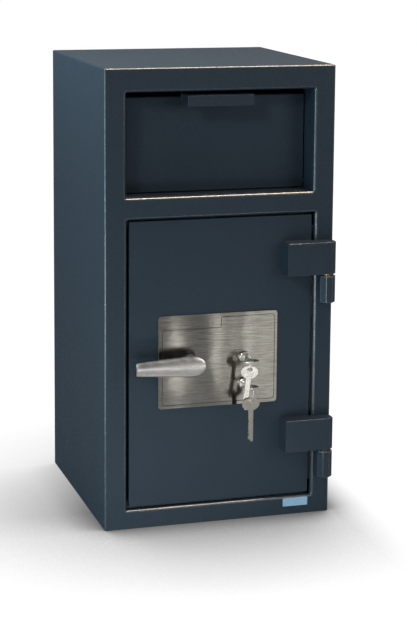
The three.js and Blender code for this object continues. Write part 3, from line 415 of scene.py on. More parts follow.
def ease_edges(piece, width, steps=3, angle=32):
    """Rounds every edge that turns more than angle degrees, by width metres."""
    weld = piece.modifiers.new("weld", "WELD")
    weld.merge_threshold = SAME_POINT
    flat = piece.modifiers.new("flat_faces", "DECIMATE")
    flat.decimate_type = "DISSOLVE"
    flat.angle_limit = SAME_PLANE
    bevel = piece.modifiers.new("round_edges", "BEVEL")
    bevel.width = width
    bevel.segments = steps
    bevel.limit_method = "ANGLE"
    bevel.angle_limit = math.radians(angle)
    bevel.use_clamp_overlap = True
    bevel.profile = EDGE_PROFILE
    normals = piece.modifiers.new("flat_shading", "WEIGHTED_NORMAL")
    normals.weight = FLAT_WEIGHT
    piece.data.shade_smooth()


def wear_finish(piece, material):
    """Gives the piece one material all over, or two where its rounded edges are rubbed."""
    piece.data.materials.clear()
    piece.data.materials.append(material)
    if material in EDGE_COATS:
        piece.data.materials.append(EDGE_COATS[material])
        for modifier in piece.modifiers:
            if modifier.type == "BEVEL":
                modifier.material = 1


for name, node in nodes.items():
    slot = slot_of_node[name]
    ease_edges(node, EDGE_WIDTHS.get(slot, PLAIN_EDGE))
    wear_finish(node, FINISHES[slot])
wear_finish(nodes["handle_lever"], nickel)
print("finished", len(nodes), "nodes")

# %% [markdown]
# ## Tools for new meshes
# A piece that is cut from plate is an outline given a thickness. A turned piece is a profile spun
# about Y. A cast or folded piece is a skin drawn over a row of cross-sections. Each could start
# from one of Blender's own shapes, but points worked out from named sizes are exact and easy to
# change. Outlines come first, as lists of flat points.

# %% Outlines
def millimetres(pairs):
    """Points that were written in millimetres, in metres."""
    return [(u * MM, v * MM) for u, v in pairs]


def arc(centre_u, centre_v, radius, start, end, steps):
    """Points on an arc, between two angles in degrees."""
    turns = [math.radians(start + (end - start) * i / steps) for i in range(steps + 1)]
    return [(centre_u + radius * math.cos(t), centre_v + radius * math.sin(t)) for t in turns]


def rounded_box(u0, u1, v0, v1, radius, steps=5):
    """The outline of a rectangle with round corners."""
    corners = [(u1, v1, 0), (u0, v1, 90), (u0, v0, 180), (u1, v0, 270)]
    points = []
    for u, v, start in corners:
        inward_u = radius if u == u0 else -radius
        inward_v = radius if v == v0 else -radius
        points += arc(u + inward_u, v + inward_v, radius, start, start + 90, steps)
    return points


print("a round corner of 5 mm:", len(arc(0, 0, 5 * MM, 0, 90, 5)), "points")

# %% Solid shapes
AXES = {"y": lambda u, v, w: (u, w, v), "z": lambda u, v, w: (u, v, w)}


def face_outwards(data, merge=0.0):
    """Turns every face outwards, once points within merge metres are joined."""
    work = bmesh.new()
    work.from_mesh(data)
    if merge:
        bmesh.ops.remove_doubles(work, verts=work.verts, dist=merge)
    bmesh.ops.recalc_face_normals(work, faces=work.faces)
    work.to_mesh(data)
    work.free()


def mesh_piece(name, points, faces):
    """A new piece from its points and from the numbers of each face's points."""
    data = bpy.data.meshes.new(name)
    data.from_pydata([tuple(p) for p in points], [], faces)
    piece = bpy.data.objects.new(name, data)
    bpy.context.scene.collection.objects.link(piece)
    face_outwards(data)
    return piece


def band(start, count):
    """The faces between a row of count points, numbered from start, and the row after it."""
    pairs = [(start + i, start + (i + 1) % count) for i in range(count)]
    return [(a, b, b + count, a + count) for a, b in pairs]


def plate(name, outline, axis, start, end):
    """A flat outline, drawn in two axes in their order, given a thickness along the third."""
    turn = AXES[axis]
    count = len(outline)
    points = [turn(u, v, w) for w in (start, end) for u, v in outline]
    ends = [tuple(range(count))[::-1], tuple(range(count, 2 * count))]
    return mesh_piece(name, points, band(0, count) + ends)


def turned(name, profile, sides, centre):
    """A profile of (radius, y) pairs spun about Y; centre is where its axis stands in X and Z."""
    points, faces = [], []
    for radius, along in profile:
        for i in range(sides):
            t = 2 * math.pi * i / sides
            points.append((centre[0] + radius * math.cos(t), along, centre[1] + radius * math.sin(t)))
    for row in range(len(profile) - 1):
        faces += band(row * sides, sides)
    if profile[0] != profile[-1]:
        faces.append(tuple(range(sides)))
        faces.append(tuple(range(len(points) - sides, len(points)))[::-1])
    piece = mesh_piece(name, points, faces)
    face_outwards(piece.data, 0.001 * MM)
    return piece


def loft(name, rings):
    """A closed skin over rings that have the same number of points."""
    count = len(rings[0])
    points = [p for ring in rings for p in ring]
    faces = [tuple(range(count)), tuple(range(len(points) - count, len(points)))]
    for row in range(len(rings) - 1):
        faces += band(row * count, count)
    return mesh_piece(name, points, faces)


print("a band round 64 points:", len(band(0, 64)), "faces")

# %% [markdown]
# ## Cutting and fitting
# Holes are cut with a boolean. It could stay on the piece as a modifier, but then its cutter would
# have to stay in the scene, so the result is kept as plain faces and the cutter is removed. A
# finished piece is then fitted: it gets its material and the body that carries it when a joint
# moves, and the plain pieces that it stands for are hidden.

# %% Carving and fitting
PAST = 10 * MM


def carve(piece, cutters, operation="DIFFERENCE"):
    """Cuts the cutters from the piece, or joins them to it, and removes them."""
    for cutter in cutters:
        boolean = piece.modifiers.new("carve", "BOOLEAN")
        boolean.operation = operation
        boolean.solver = "EXACT"
        boolean.object = cutter
    bpy.context.view_layer.update()
    ready = piece.evaluated_get(bpy.context.evaluated_depsgraph_get())
    result = bpy.data.meshes.new_from_object(ready)
    piece.modifiers.clear()
    piece.data = result
    for cutter in cutters:
        bpy.data.objects.remove(cutter)


def fit(piece, body, slot, material, *stands_for):
    """Gives a new piece its finish and its body, and hides the nodes that it stands for."""
    wear_finish(piece, material)
    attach(piece, body)
    if stands_for:
        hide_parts(*stands_for)
    print(piece.name, len(piece.data.vertices), "points, rides on", body)


print("cutters reach", PAST, "m past what they cut")

# %% [markdown]
# ## The welded shell
# On the real safe the wrap and the front frame are welded and ground flush before painting, so
# no seam shows between them. The solids keep a gap there, so one mesh stands for both. It is a
# box, hollowed and then cut for the door, the recess and the floor anchors.
#
# The sheet is folded at the front. A bevel could round that fold, but it also meets the openings'
# edges and would shrink to fit them, so the fold is drawn: a quarter round, as rings that grow
# from the front face to the sides. The openings are rolled back in the same way. Behind the door
# opening's right edge, by the hinges, the sheet turns in as a narrow return.

# %% Shell outlines
wrap_low, wrap_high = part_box("body_wrap")
frame_low, frame_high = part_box("front_frame")
HALF_WIDTH = wrap_high.x
WALL = 4 * MM
CORNER = 3 * MM
FRONT_FOLD = 3 * MM
ROLL = 5 * MM
ROUND_STEP = 15
DOOR_HOLE = (-206 * MM, 213 * MM, 41 * MM, 672 * MM)
RECESS_HOLE = (-208 * MM, 208 * MM, 718 * MM, 939.5 * MM)


def rolled_hole(name, u0, u1, v0, v1):
    """A cutter for a hole whose front edge is rolled back in a quarter round."""
    steps = [(frame_low.y - PAST, ROLL)]
    for degrees in range(0, 91, ROUND_STEP):
        turn = math.radians(degrees)
        steps.append((frame_low.y + ROLL * (1 - math.cos(turn)), ROLL * (1 - math.sin(turn))))
    steps.append((frame_high.y + PAST, 0))
    rings = []
    for y, out in steps:
        outline = rounded_box(u0 - out, u1 + out, v0 - out, v1 + out, CORNER + out)
        rings.append([(u, y, v) for u, v in outline])
    return loft(name, rings)


def folded_block():
    """The cabinet's outside: a block whose front edge is folded back in a quarter round."""
    rings = []
    for degrees in range(90, -1, -ROUND_STEP):
        turn = math.radians(degrees)
        inset = FRONT_FOLD * (1 - math.cos(turn))
        y = wrap_low.y + FRONT_FOLD * (1 - math.sin(turn))
        corner = max(CORNER - inset, 0.3 * MM)
        side = HALF_WIDTH - inset
        outline = rounded_box(-side, side, wrap_low.z + inset, wrap_high.z - inset, corner, 6)
        rings.append([(u, y, v) for u, v in outline])
    rings.append([(u, wrap_high.y, v) for u, y, v in rings[-1]])
    return loft("cabinet_shell", rings)


print("the shell is", round(2 * HALF_WIDTH / MM), "mm wide, of", round(WALL / MM), "mm plate")

# %% Shell
RETURN_THICK = 3 * MM
RETURN_START = frame_high.y - 1 * MM
RETURN_END = -239 * MM
INNER_CORNER = 0.5 * MM
ANCHOR_XS = (-170 * MM, 170 * MM)
ANCHOR_YS = (-150 * MM, 170 * MM)
ANCHOR_RADIUS = 7 * MM


def shell_openings():
    """The door's opening, the recess and the anchors, as cutters."""
    cutters = [rolled_hole("cut_door", *DOOR_HOLE), rolled_hole("cut_recess", *RECESS_HOLE)]
    for x in ANCHOR_XS:
        for y in ANCHOR_YS:
            outline = arc(x, y, ANCHOR_RADIUS, 0, 345, 23)
            cutters.append(plate("cut_anchor", outline, "z", -PAST, PAST))
    return cutters


inner_side = HALF_WIDTH - WALL
inner = rounded_box(-inner_side, inner_side, WALL, wrap_high.z - WALL, INNER_CORNER, 2)
shell = folded_block()
carve(shell, [plate("cut_hollow", inner, "y", frame_high.y, wrap_high.y + PAST)])
left, right, bottom, top = DOOR_HOLE
turn_in = rounded_box(right, right + RETURN_THICK, bottom + CORNER, top - CORNER, INNER_CORNER, 2)
carve(shell, [plate("join_return", turn_in, "y", RETURN_START, RETURN_END)], "UNION")
carve(shell, shell_openings())
ease_edges(shell, 1 * MM)
fit(shell, "cabinet", "paint", paint, "body_wrap", "front_frame")

# %% [markdown]
# ## Where the shell is rubbed
# The folded and rolled edges at the front have lost some of their paint, but not where they face
# down or to the right. The bevel can't mark them, because they are drawn. Each face's normal, which
# is the direction that it looks in, can: on a round it lies between straight forward and sideways.

# %% Rubbed faces of the shell
SIDEWAYS, FORWARD = 0.1, 0.995
LOWEST, RIGHTMOST = -0.3, 0.3


def is_rubbed(normal):
    """Whether a face lies on a round that faces neither down nor to the right."""
    on_a_round = SIDEWAYS < abs(normal.y) < FORWARD
    return on_a_round and normal.z > LOWEST and normal.x < RIGHTMOST


for face in shell.data.polygons:
    face.material_index = int(is_rubbed(face.normal))
print(sum(face.material_index for face in shell.data.polygons), "rubbed faces")

# %% [markdown]
# ## The lever
# The lever is cast and polished: a flat paddle that widens towards a blunt round nose, with a
# crowned front and a narrow chamfer all round it that catches a bright line. A box under a
# subdivision modifier would make it too soft. It is lofted instead: a skin is drawn over a row of
# cross-sections, whose height, middle and depth change along the lever.

# %% Lever sections
lever_low, lever_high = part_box("handle_lever")
LEVER_X, LEVER_Z = -66 * MM, 360 * MM
LEVER_TIP, LEVER_NOSE = lever_low.x - LEVER_X, lever_high.x - LEVER_X
LEVER_ROUND = -12 * MM
HALF_AT_TIP, HALF_AT_NOSE = 14.5 * MM, 22.3 * MM
RISE_AT_TIP, RISE_AT_NOSE = 1.5 * MM, -1 * MM
FRONT_AT_TIP, FRONT_SLOPE, NOSE_SLOPE = -300 * MM, 7 * MM, 1.5 * MM
BACK_AT_TIP, BACK_AT_NOSE = -282.5 * MM, -281 * MM
NOSE_BLUNT = 2.5
LEVER_CHAMFER = 1.7 * MM
LEVER_CROWN = 2.4 * MM
LEVER_BACK_ROUND = 2 * MM


def between(low, high, share):
    """The value that lies this share of the way from low to high."""
    return low + (high - low) * share


def share_along(low, high, x):
    """How far x is from low to high, kept between 0 and 1."""
    return min(1, max(0, (x - low) / (high - low)))


def lever_section(x, inset=0.0):
    """The lever's outline across, at x metres from its axis, drawn in by inset."""
    taper = share_along(LEVER_TIP, LEVER_ROUND, x)
    share = share_along(LEVER_ROUND, LEVER_NOSE, x)
    close = max(0.004, 1 - share ** NOSE_BLUNT) ** (1 / NOSE_BLUNT)
    half = between(HALF_AT_TIP, HALF_AT_NOSE, taper) * close - inset
    middle = LEVER_Z + between(RISE_AT_TIP, RISE_AT_NOSE, taper)
    front = FRONT_AT_TIP + FRONT_SLOPE * taper ** 0.8 + NOSE_SLOPE * share ** 2 + inset
    back = between(BACK_AT_TIP, BACK_AT_NOSE, taper) - inset
    cut = min(LEVER_CHAMFER, 0.5 * half)
    soft = min(LEVER_BACK_ROUND, 0.5 * half)
    crown = LEVER_CROWN * min(1, half / (20 * MM))
    across = [i / 8 - 1 for i in range(17)]
    face = [(front + crown * t * t, middle + t * (half - cut)) for t in across]
    edge = middle + half
    top = [(front + crown + cut, edge), (back - soft, edge), (back, edge - soft)]
    bottom = [(y, 2 * middle - z) for y, z in reversed(top)]
    return [(LEVER_X + x, y, z) for y, z in face + top + bottom]


print("the lever is", round((LEVER_NOSE - LEVER_TIP) / MM), "mm long")

# %% Lever
shaft = [between(LEVER_TIP + LEVER_CHAMFER, LEVER_ROUND, i / 30) for i in range(30)]
nose = [between(LEVER_ROUND, LEVER_NOSE, math.sin(math.pi / 2 * i / 22)) for i in range(23)]
rings = [lever_section(LEVER_TIP, LEVER_CHAMFER)] + [lever_section(x) for x in shaft + nose]
lever = loft("lever", rings)
ease_edges(lever, 0.5 * MM, angle=28)
fit(lever, "handle", "nickel", nickel, "handle_lever")

# %% [markdown]
# ## The lever's neck
# The neck is turned on a lathe: a cone that meets the back of the paddle, a plain shank, and a
# flared foot that turns against the plate. Its profile is a list of radii and depths, in
# millimetres, spun about the axis. Stacked cylinders would show hard steps instead.

# %% Lever neck
neck_profile = [
    (0, -285), (15, -285), (13.6, -279), (12.5, -274), (12.5, -257), (13, -253), (14.4, -250.2),
    (15.5, -249.4), (15.5, -247.1), (0, -247.1),
]
neck = turned("lever_neck", millimetres(neck_profile), 96, (LEVER_X, LEVER_Z))
ease_edges(neck, 0.4 * MM, angle=20)
fit(neck, "handle", "nickel", nickel)

# %% [markdown]
# ## The locks
# Each lock shows a bright rim round a darker plug. The rim is pressed and polished, so it is a
# turned profile with soft steps. The plug's slot could be painted on, but a key turns in it and
# its walls are seen, so it is cut through, a little wider than the key's blade.

# %% Lock rims and plugs
LOCK_X = 57 * MM
LOCKS = {"upper": 361.5 * MM, "lower": 304 * MM}
PLUG, RIM_HOLE = 6.6, 6.9
KEY_HALF_THICK = 1.25 * MM
KEY_HALF_BLADE = 5.5 * MM
KEY_PLAY = 0.3 * MM
KEYWAY_START, KEYWAY_END = -260 * MM, -190 * MM
rim_profile = [
    (RIM_HOLE, -251.6), (7.4, -252), (9.1, -252), (9.8, -252.9), (11.6, -253), (12.6, -252.2),
    (13, -251), (13, -247.1), (10, -247.1), (10, -229.5), (RIM_HOLE, -229.5), (RIM_HOLE, -251.6),
]
plug_profile = [
    (0, -251.4), (3.4, -251.5), (5.6, -252.2), (6.2, -252.2), (PLUG, -251.8), (PLUG, -200), (0, -200),
]
for name, height in LOCKS.items():
    centre = (LOCK_X, height)
    rim = turned(f"lock_rim_{name}", millimetres(rim_profile), 96, centre)
    ease_edges(rim, 0.25 * MM, angle=25)
    fit(rim, "door", "nickel", bright_nickel, f"lock_cylinder_{name}")
    plug = turned(f"lock_face_{name}", millimetres(plug_profile), 64, centre)
    wide, high = KEY_HALF_BLADE + KEY_PLAY, KEY_HALF_THICK + KEY_PLAY
    slot = rounded_box(LOCK_X - wide, LOCK_X + wide, height - high, height + high, KEY_PLAY, 2)
    carve(plug, [plate("cut_keyway", slot, "y", KEYWAY_START, KEYWAY_END)])
    ease_edges(plug, 0.15 * MM, 2)
    fit(plug, f"{name}_plug", "nickel", bright_nickel, f"lock_plug_{name}")

# %% [markdown]
# ## The keys
# A key is stamped from nickelled sheet: an oval bow with an oblong hole, and a long blade with
# cuts along one edge and a milled groove in each face. Four keys could be drawn in their places,
# but they are all alike. One function draws a key hanging down from the outer edge of its bow,
# and a matrix then lays it into its lock or hangs it on its ring.

# %% Key outline
KEY_LENGTH = 96
KEY_BOW = 19.5
KEY_SHOULDER = -27
KEY_CUTS = [(50, 54, 2.2), (57, 60, 1.2), (72, 75, 1.6), (79, 83, 2.4)]
CUT_SLOPE = 0.8


def curve(start, first, second, end, steps=12):
    """Points on a cubic curve after its start; first and second pull it on its way."""
    points = []
    for i in range(1, steps + 1):
        t = i / steps
        weights = ((1 - t) ** 3, 3 * t * (1 - t) ** 2, 3 * t * t * (1 - t), t ** 3)
        pulls = list(zip(weights, (start, first, second, end)))
        points.append((sum(w * p[0] for w, p in pulls), sum(w * p[1] for w, p in pulls)))
    return points


def key_outline():
    """The key's outline in millimetres, from its tip up the plain edge and back down the cuts."""
    edge, wide, neck = KEY_HALF_BLADE / MM, KEY_BOW, KEY_SHOULDER
    points = [(edge - 1.5, -KEY_LENGTH), (edge, 2 - KEY_LENGTH), (edge, neck)]
    points += curve((edge, neck), (0.7 * wide, -25.5), (wide, -19), (wide, -13))
    points += curve((wide, -13), (wide, -5), (0.53 * wide, 0), (0, 0))
    points += curve((0, 0), (-0.53 * wide, 0), (-wide, -5), (-wide, -13))
    points += curve((-wide, -13), (-wide, -19), (-0.7 * wide, -25.5), (-edge, neck))
    for top, bottom, deep in KEY_CUTS:
        cut = deep - edge
        points += [(-edge, -top), (cut, -top - CUT_SLOPE), (cut, CUT_SLOPE - bottom), (-edge, -bottom)]
    return points + [(-edge, 5 - KEY_LENGTH), (-1, 5 - KEY_LENGTH), (0.5, -KEY_LENGTH)]


print("a key's outline has", len(key_outline()), "points")

# %% Keys
BOW_HOLE = (-6 * MM, 6 * MM, -11.1 * MM, -3.9 * MM)
BOW_HOLE_CORNER = 3.4 * MM
GROOVE = (0.4 * MM, 2.3 * MM, -93 * MM, -31 * MM)
GROOVE_CORNER, GROOVE_DEPTH = 0.9 * MM, 0.55 * MM
OVAL_MIDDLE, OVAL_WIDE, OVAL_HIGH, OVAL_DEPTH = -18.4 * MM, 12 * MM, 4.4 * MM, 0.25 * MM
OVAL_STEPS = 40


def sink(name, outline, side, depth):
    """A cutter that sinks an outline into one face of a key; side is -1 for its front."""
    levels = sorted([side * (KEY_HALF_THICK - depth), side * (KEY_HALF_THICK + 1 * MM)])
    return plate(name, outline, "y", *levels)


def key(name, place):
    """One key, with its bow's hole, its grooves and its oval recesses, laid in its place."""
    made = plate(name, millimetres(key_outline()), "y", -KEY_HALF_THICK, KEY_HALF_THICK)
    turns = [2 * math.pi * i / OVAL_STEPS for i in range(OVAL_STEPS)]
    oval = [(OVAL_WIDE * math.cos(t), OVAL_MIDDLE + OVAL_HIGH * math.sin(t)) for t in turns]
    cutters = [plate("cut_hole", rounded_box(*BOW_HOLE, BOW_HOLE_CORNER, 6), "y", -PAST, PAST)]
    for side in (-1, 1):
        groove = rounded_box(*GROOVE, GROOVE_CORNER, 4)
        cutters.append(sink("cut_groove", groove, side, GROOVE_DEPTH))
        cutters.append(sink("cut_oval", oval, side, OVAL_DEPTH))
    carve(made, cutters)
    made.data.transform(place)
    ease_edges(made, 0.3 * MM)
    return made


def placed(origin, lean=0.0, axis="Y"):
    """The matrix that moves a piece to origin, once it leans by some degrees about an axis."""
    return Matrix.Translation(origin) @ Matrix.Rotation(math.radians(lean), 4, axis)


BOW_EDGE = -297 * MM
SPARES = {
    "upper": ((52.8 * MM, -299.1 * MM, 354.8 * MM), 7.6, bright_nickel),
    "lower": ((53.5 * MM, -303.4 * MM, 286 * MM), 0.0, satin_key),
}
for name, height in LOCKS.items():
    inserted = key(f"inserted_key_{name}", placed((LOCK_X, BOW_EDGE, height), 90, "X"))
    fit(inserted, f"{name}_plug", "nickel", bright_nickel, f"key_{name}")
    origin, lean, finish = SPARES[name]
    spare = key(f"hanging_key_{name}", placed(origin, lean))
    fit(spare, f"{name}_spare", "nickel", finish, f"spare_key_{name}")

# %% [markdown]
# ## The split rings
# A split ring is one flat wire wound twice. Two plain rings side by side would pass from far off,
# but not with the wire's ends and its bend in view. Over the first turn the wire keeps to one
# side, then it steps across in a short bend so that its second turn can lie beside the first. Its
# section is carried along that path, as rings of points for the loft.

# %% Split rings
WIRE, WIRE_CORNER = 1.7 * MM, 0.22 * MM
LAYER = 0.6 * MM
LAYER_SIDE = 0.56 * LAYER
WIRE_START, WIRE_LENGTH, WIRE_STEP = 200, 672, 6
BEND_START, BEND_END = 315, 360
WIRE_SECTION = rounded_box(-WIRE / 2, WIRE / 2, -LAYER / 2, LAYER / 2, WIRE_CORNER, 3)


def split_ring(name, inner, place):
    """A wire wound twice at an inner radius about X, laid in its place. Its angles are degrees."""
    middle = inner + WIRE / 2
    rings = []
    for step in range(0, WIRE_LENGTH + 1, WIRE_STEP):
        across = share_along(BEND_START, BEND_END, step)
        side = LAYER_SIDE * (2 * across * across * (3 - 2 * across) - 1)
        turn = math.radians(step + WIRE_START)
        along, up = math.cos(turn), math.sin(turn)
        rings.append([(side + v, (middle + u) * along, (middle + u) * up) for u, v in WIRE_SECTION])
    made = loft(name, rings)
    made.data.transform(place)
    ease_edges(made, 0.1 * MM, 2, 50)
    return made


# Each ring: inner radius, how far its middle hangs below the bow's bridge, its tilt forward, how
# far it sits aside, its lean, and its body. Lengths are in millimetres and angles in degrees.
RINGS = {
    "upper": (7.6, 4.9, 40, -3, 0, "upper_plug"),
    "lower": (13.5, 10.8, 20, 0.5, 9, "lower_ring"),
}
BRIDGE = -295.05 * MM
for name, (inner, reach, tilt, shift, lean, body) in RINGS.items():
    hook = placed((LOCK_X + shift * MM, BRIDGE, LOCKS[name]), lean)
    tilt = math.radians(tilt)
    drop = Matrix.Translation((0, -reach * MM * math.sin(tilt), -reach * MM * math.cos(tilt)))
    ring = split_ring(f"split_ring_{name}", inner * MM, hook @ drop)
    fit(ring, body, "chrome", chrome, f"key_ring_{name}")

# %% [markdown]
# ## The plate's border
# A thin black line is printed round the plate, with a step in its top left corner. As an image on
# the plate it would blur up close. It is a flat ribbon instead, a few hundredths of a millimetre
# proud: the same rounded outline twice, once drawn in by the line's width.

# %% Border outline
plate_low, plate_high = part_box("face_plate")
LINE = 1.2 * MM
LINE_CORNER, STEP_CORNER, INSIDE_CORNER = 7.5 * MM, 3 * MM, 2 * MM
LINE_LEFT, LINE_RIGHT = plate_low.x + 8 * MM, plate_high.x - 6 * MM
LINE_BOTTOM, LINE_TOP = plate_low.z + 7.5 * MM, plate_high.z - 8 * MM
STEP_X, STEP_Z = plate_low.x + 139.5 * MM, LINE_TOP - 22.6 * MM


def round_corners(corners, steps=8):
    """An outline through corners (u, v, radius), each with a tangent arc."""
    points = []
    for i, (u, v, radius) in enumerate(corners):
        here = Vector((u, v))
        back = (Vector(corners[i - 1][:2]) - here).normalized()
        on = (Vector(corners[(i + 1) % len(corners)][:2]) - here).normalized()
        centre = here + (back + on) * radius
        start, end = -on, -back
        for k in range(steps + 1):
            t = math.pi / 2 * k / steps
            points.append(tuple(centre + radius * (start * math.cos(t) + end * math.sin(t))))
    return points


def border(inset):
    """The border's outline, drawn in by inset on every side."""
    outer, tight, turned_in = LINE_CORNER - inset, STEP_CORNER - inset, INSIDE_CORNER + inset
    return round_corners([
        (LINE_LEFT + inset, LINE_BOTTOM + inset, outer),
        (LINE_RIGHT - inset, LINE_BOTTOM + inset, outer),
        (LINE_RIGHT - inset, LINE_TOP - inset, outer),
        (STEP_X + inset, LINE_TOP - inset, tight),
        (STEP_X + inset, STEP_Z - inset, turned_in),
        (LINE_LEFT + inset, STEP_Z - inset, tight),
    ])


print("the border is", round((LINE_RIGHT - LINE_LEFT) / MM), "mm wide")

# %% Border line
INK_PROUD, INK_THICK = 0.03 * MM, 0.02 * MM
outside, inside = border(0), border(LINE)
level = plate_low.y - INK_PROUD
points = [(u, level, v) for u, v in outside + inside]
line = mesh_piece("border_line", points, band(0, len(outside)))
solid = line.modifiers.new("thickness", "SOLIDIFY")
solid.thickness = INK_THICK
fit(line, "door", "label", black_ink)

# %% [markdown]
# ## Cover screws
# The cover over the boltwork is held by pan-headed screws round its edge. They show only when the
# door is open, and as flat discs they would look drawn on. Each is a turned head with a cross cut
# into it, and rides on the door.

# %% Cover screws
cover_low, cover_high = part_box("boltwork_cover")
FLANGE = cover_low.y + 1.5 * MM
SCREW_INSET = 6 * MM
SCREW_XS = (-150 * MM, -10 * MM, 130 * MM)
SCREW_ZS = (200 * MM, 354 * MM, 508 * MM)
SLOT_LONG, SLOT_WIDE, SLOT_CORNER = 2.1 * MM, 0.45 * MM, 0.3 * MM
SLOT_FLOOR, SLOT_TOP = FLANGE + 1.1 * MM, FLANGE + 4 * MM
head_profile = [(0, 2.2), (1.6, 2.15), (2.9, 1.7), (3.7, 0.9), (4, 0.2), (4, 0), (0, 0)]
head_on_flange = [(r, FLANGE + y) for r, y in millimetres(head_profile)]
rows = (cover_low.z + SCREW_INSET, cover_high.z - SCREW_INSET)
screws = [(x, z) for z in rows for x in SCREW_XS]
screws += [(cover_high.x - SCREW_INSET, z) for z in SCREW_ZS]
for number, (x, z) in enumerate(screws):
    head = turned(f"cover_screw_{number}", head_on_flange, 40, (x, z))
    cross = []
    for wide, high in ((SLOT_LONG, SLOT_WIDE), (SLOT_WIDE, SLOT_LONG)):
        slot = rounded_box(x - wide, x + wide, z - high, z + high, SLOT_CORNER, 2)
        cross.append(plate("cut_slot", slot, "y", SLOT_FLOOR, SLOT_TOP))
    carve(head, cross)
    ease_edges(head, 0.1 * MM, 2, 40)
    fit(head, "door", "zinc_plate", zinc)

# %% [markdown]
# ## The lamps
# The cabinet stands on a white page among soft boxes, which are lamps shaped as rectangles. A
# point lamp or the sun would give hard shadows and pinhead glints, but a box shows in metal as a
# soft bright patch of its own shape. Three cool boxes on the left light the side, the key stands
# at the front left above the cabinet, a small one lifts the front corner near the floor, and a
# large one at the front right fills the front. The smallest ones, low at the front, are there for
# the metal: they are the streaks on the plate and the glow on the lever and the keys.
#
# A matt-only box lights paint without showing in any metal. Four of these lift the right side,
# the back, the top and the foot of the front.

# %% Soft boxes
def soft_box(name, place, target, size, power, tint):
    """A lamp of a given size at place, turned to face target. The camera never sees it."""
    data = bpy.data.lights.new(name, "AREA")
    data.shape = "RECTANGLE"
    data.size, data.size_y = size
    data.energy = power
    data.color = tint
    lamp = bpy.data.objects.new(name, data)
    lamp.location = place
    lamp.rotation_euler = (Vector(target) - Vector(place)).to_track_quat("-Z", "Y").to_euler()
    lamp.visible_camera = False
    bpy.context.scene.collection.objects.link(lamp)
    return lamp


# Each lamp: name, place, what it faces, size, power in watts, and colour.
LAMPS = [
    ("left_top", (-0.85, 0.15, 1.40), (-0.25, 0, 0.85), (0.5, 0.5), 6.8, (0.5, 0.82, 1.0)),
    ("left_wide", (-1.2, 0.1, 1.5), (-0.25, 0, 0.6), (0.6, 0.6), 6, (0.8, 0.95, 1.0)),
    ("left_side", (-2.4, -0.95, 0.8), (-0.2, -0.2, 0.6), (0.4, 1.0), 6.5, (0.38, 0.77, 1.0)),
    ("key", (-1.7, -2.1, 2.2), (0, -0.25, 0.5), (0.5, 0.5), 25.5, (0.94, 0.98, 1.0)),
    ("corner_low", (-0.55, -1.55, 0.22), (-0.2, -0.25, 0.12), (0.5, 0.35), 4.6, (1.0, 0.98, 0.97)),
    ("front_right", (1.6, -2.4, 1.3), (0, -0.3, 0.4), (1.2, 1.2), 15.5, (0.98, 0.96, 0.95)),
    ("plate_glow", (0.375, -1.0, 0.18), (0.12, -0.25, 0.38), (0.07, 0.5), 0.12, (1.0, 0.98, 0.94)),
    ("streak_left", (0.235, -1.0, 0.21), (0.02, -0.25, 0.38), (0.014, 0.20), 0.033, (1.0, 0.98, 0.95)),
    ("streak_middle", (0.277, -1.0, 0.17), (0.04, -0.25, 0.38), (0.010, 0.30), 0.022, (1.0, 0.98, 0.95)),
    ("streak_right", (0.319, -1.0, 0.18), (0.07, -0.25, 0.38), (0.012, 0.40), 0.048, (1.0, 0.98, 0.95)),
    ("lever_glow", (0.06, -1.0, 0.13), (-0.1, -0.3, 0.36), (0.26, 0.10), 0.018, (1.0, 0.99, 0.97)),
    ("flame_low", (0.124, -1.0, 0.155), (-0.1, -0.25, 0.37), (0.036, 0.03), 0.030, (1.0, 1.0, 1.0)),
    ("flame_high", (0.120, -1.0, 0.19), (-0.1, -0.25, 0.37), (0.012, 0.04), 0.015, (1.0, 1.0, 1.0)),
    ("key_glint", (0.30, -1.0, 0.05), (0.05, -0.3, 0.3), (0.030, 0.06), 0.008, (1.0, 1.0, 1.0)),
]
MATT_LAMPS = [
    ("right_fill", (2.2, 0.5, 0.5), (0.25, 0.05, 0.5), (0.9, 0.8), 12, (0.96, 0.98, 1.0)),
    ("back_fill", (0.4, 2.4, 0.5), (0, 0.25, 0.5), (0.9, 0.8), 12, (0.96, 0.98, 1.0)),
    ("overhead", (0.5, -0.42, 2.6), (0.05, -0.15, 0.8), (0.6, 0.3), 20.5, (1.0, 0.92, 0.82)),
    ("front_foot", (-0.22, -0.70, 0.06), (-0.14, -0.25, 0.06), (0.7, 0.08), 1.6, (1.0, 0.99, 0.98)),
]
for row in LAMPS:
    soft_box(*row)
for row in MATT_LAMPS:
    soft_box(*row).visible_glossy = False
print(len(LAMPS), "soft boxes and", len(MATT_LAMPS), "that only light matt finishes")

# %% [markdown]
# ## Glints on the painted edges
# The rubbed edges catch a tan light from above and a blue one from the left. Lamps strong enough
# for that would whiten the faces beside the edges and every metal piece, so these two only show in
# gloss. Light linking keeps them to the painted pieces, by a collection of those.

# %% Edge strips
GLINTS = [
    ("edge_strip", (0.62, -0.72, 2.5), (0.62, -0.72, 0.5), (1.1, 0.85), 85, (1.0, 0.80, 0.60)),
    ("edge_strip_left", (-0.9, -0.54, 0.48), (0, -0.54, 0.48), (0.40, 0.94), 7, (0.45, 0.80, 1.0)),
]
painted = bpy.data.collections.new("painted_pieces")
for piece in bpy.data.objects:
    if any(slot.material in EDGE_COATS for slot in piece.material_slots):
        painted.objects.link(piece)
for row in GLINTS:
    lamp = soft_box(*row)
    lamp.visible_diffuse = False
    lamp.light_linking.receiver_collection = painted

# %% [markdown]
# ## What a ray finds
# A page that is white to the camera would be a very strong lamp to the object. The Light Path
# node tells rays apart, so the page can be white to some and plain to the others, and no light
# is spent on the object to get it. Reflections find a small share of it.

# %% Light paths
PAGE_IN_GLOSS = 0.12
BLACK, WHITE = (0, 0, 0, 1), (1, 1, 1, 1)


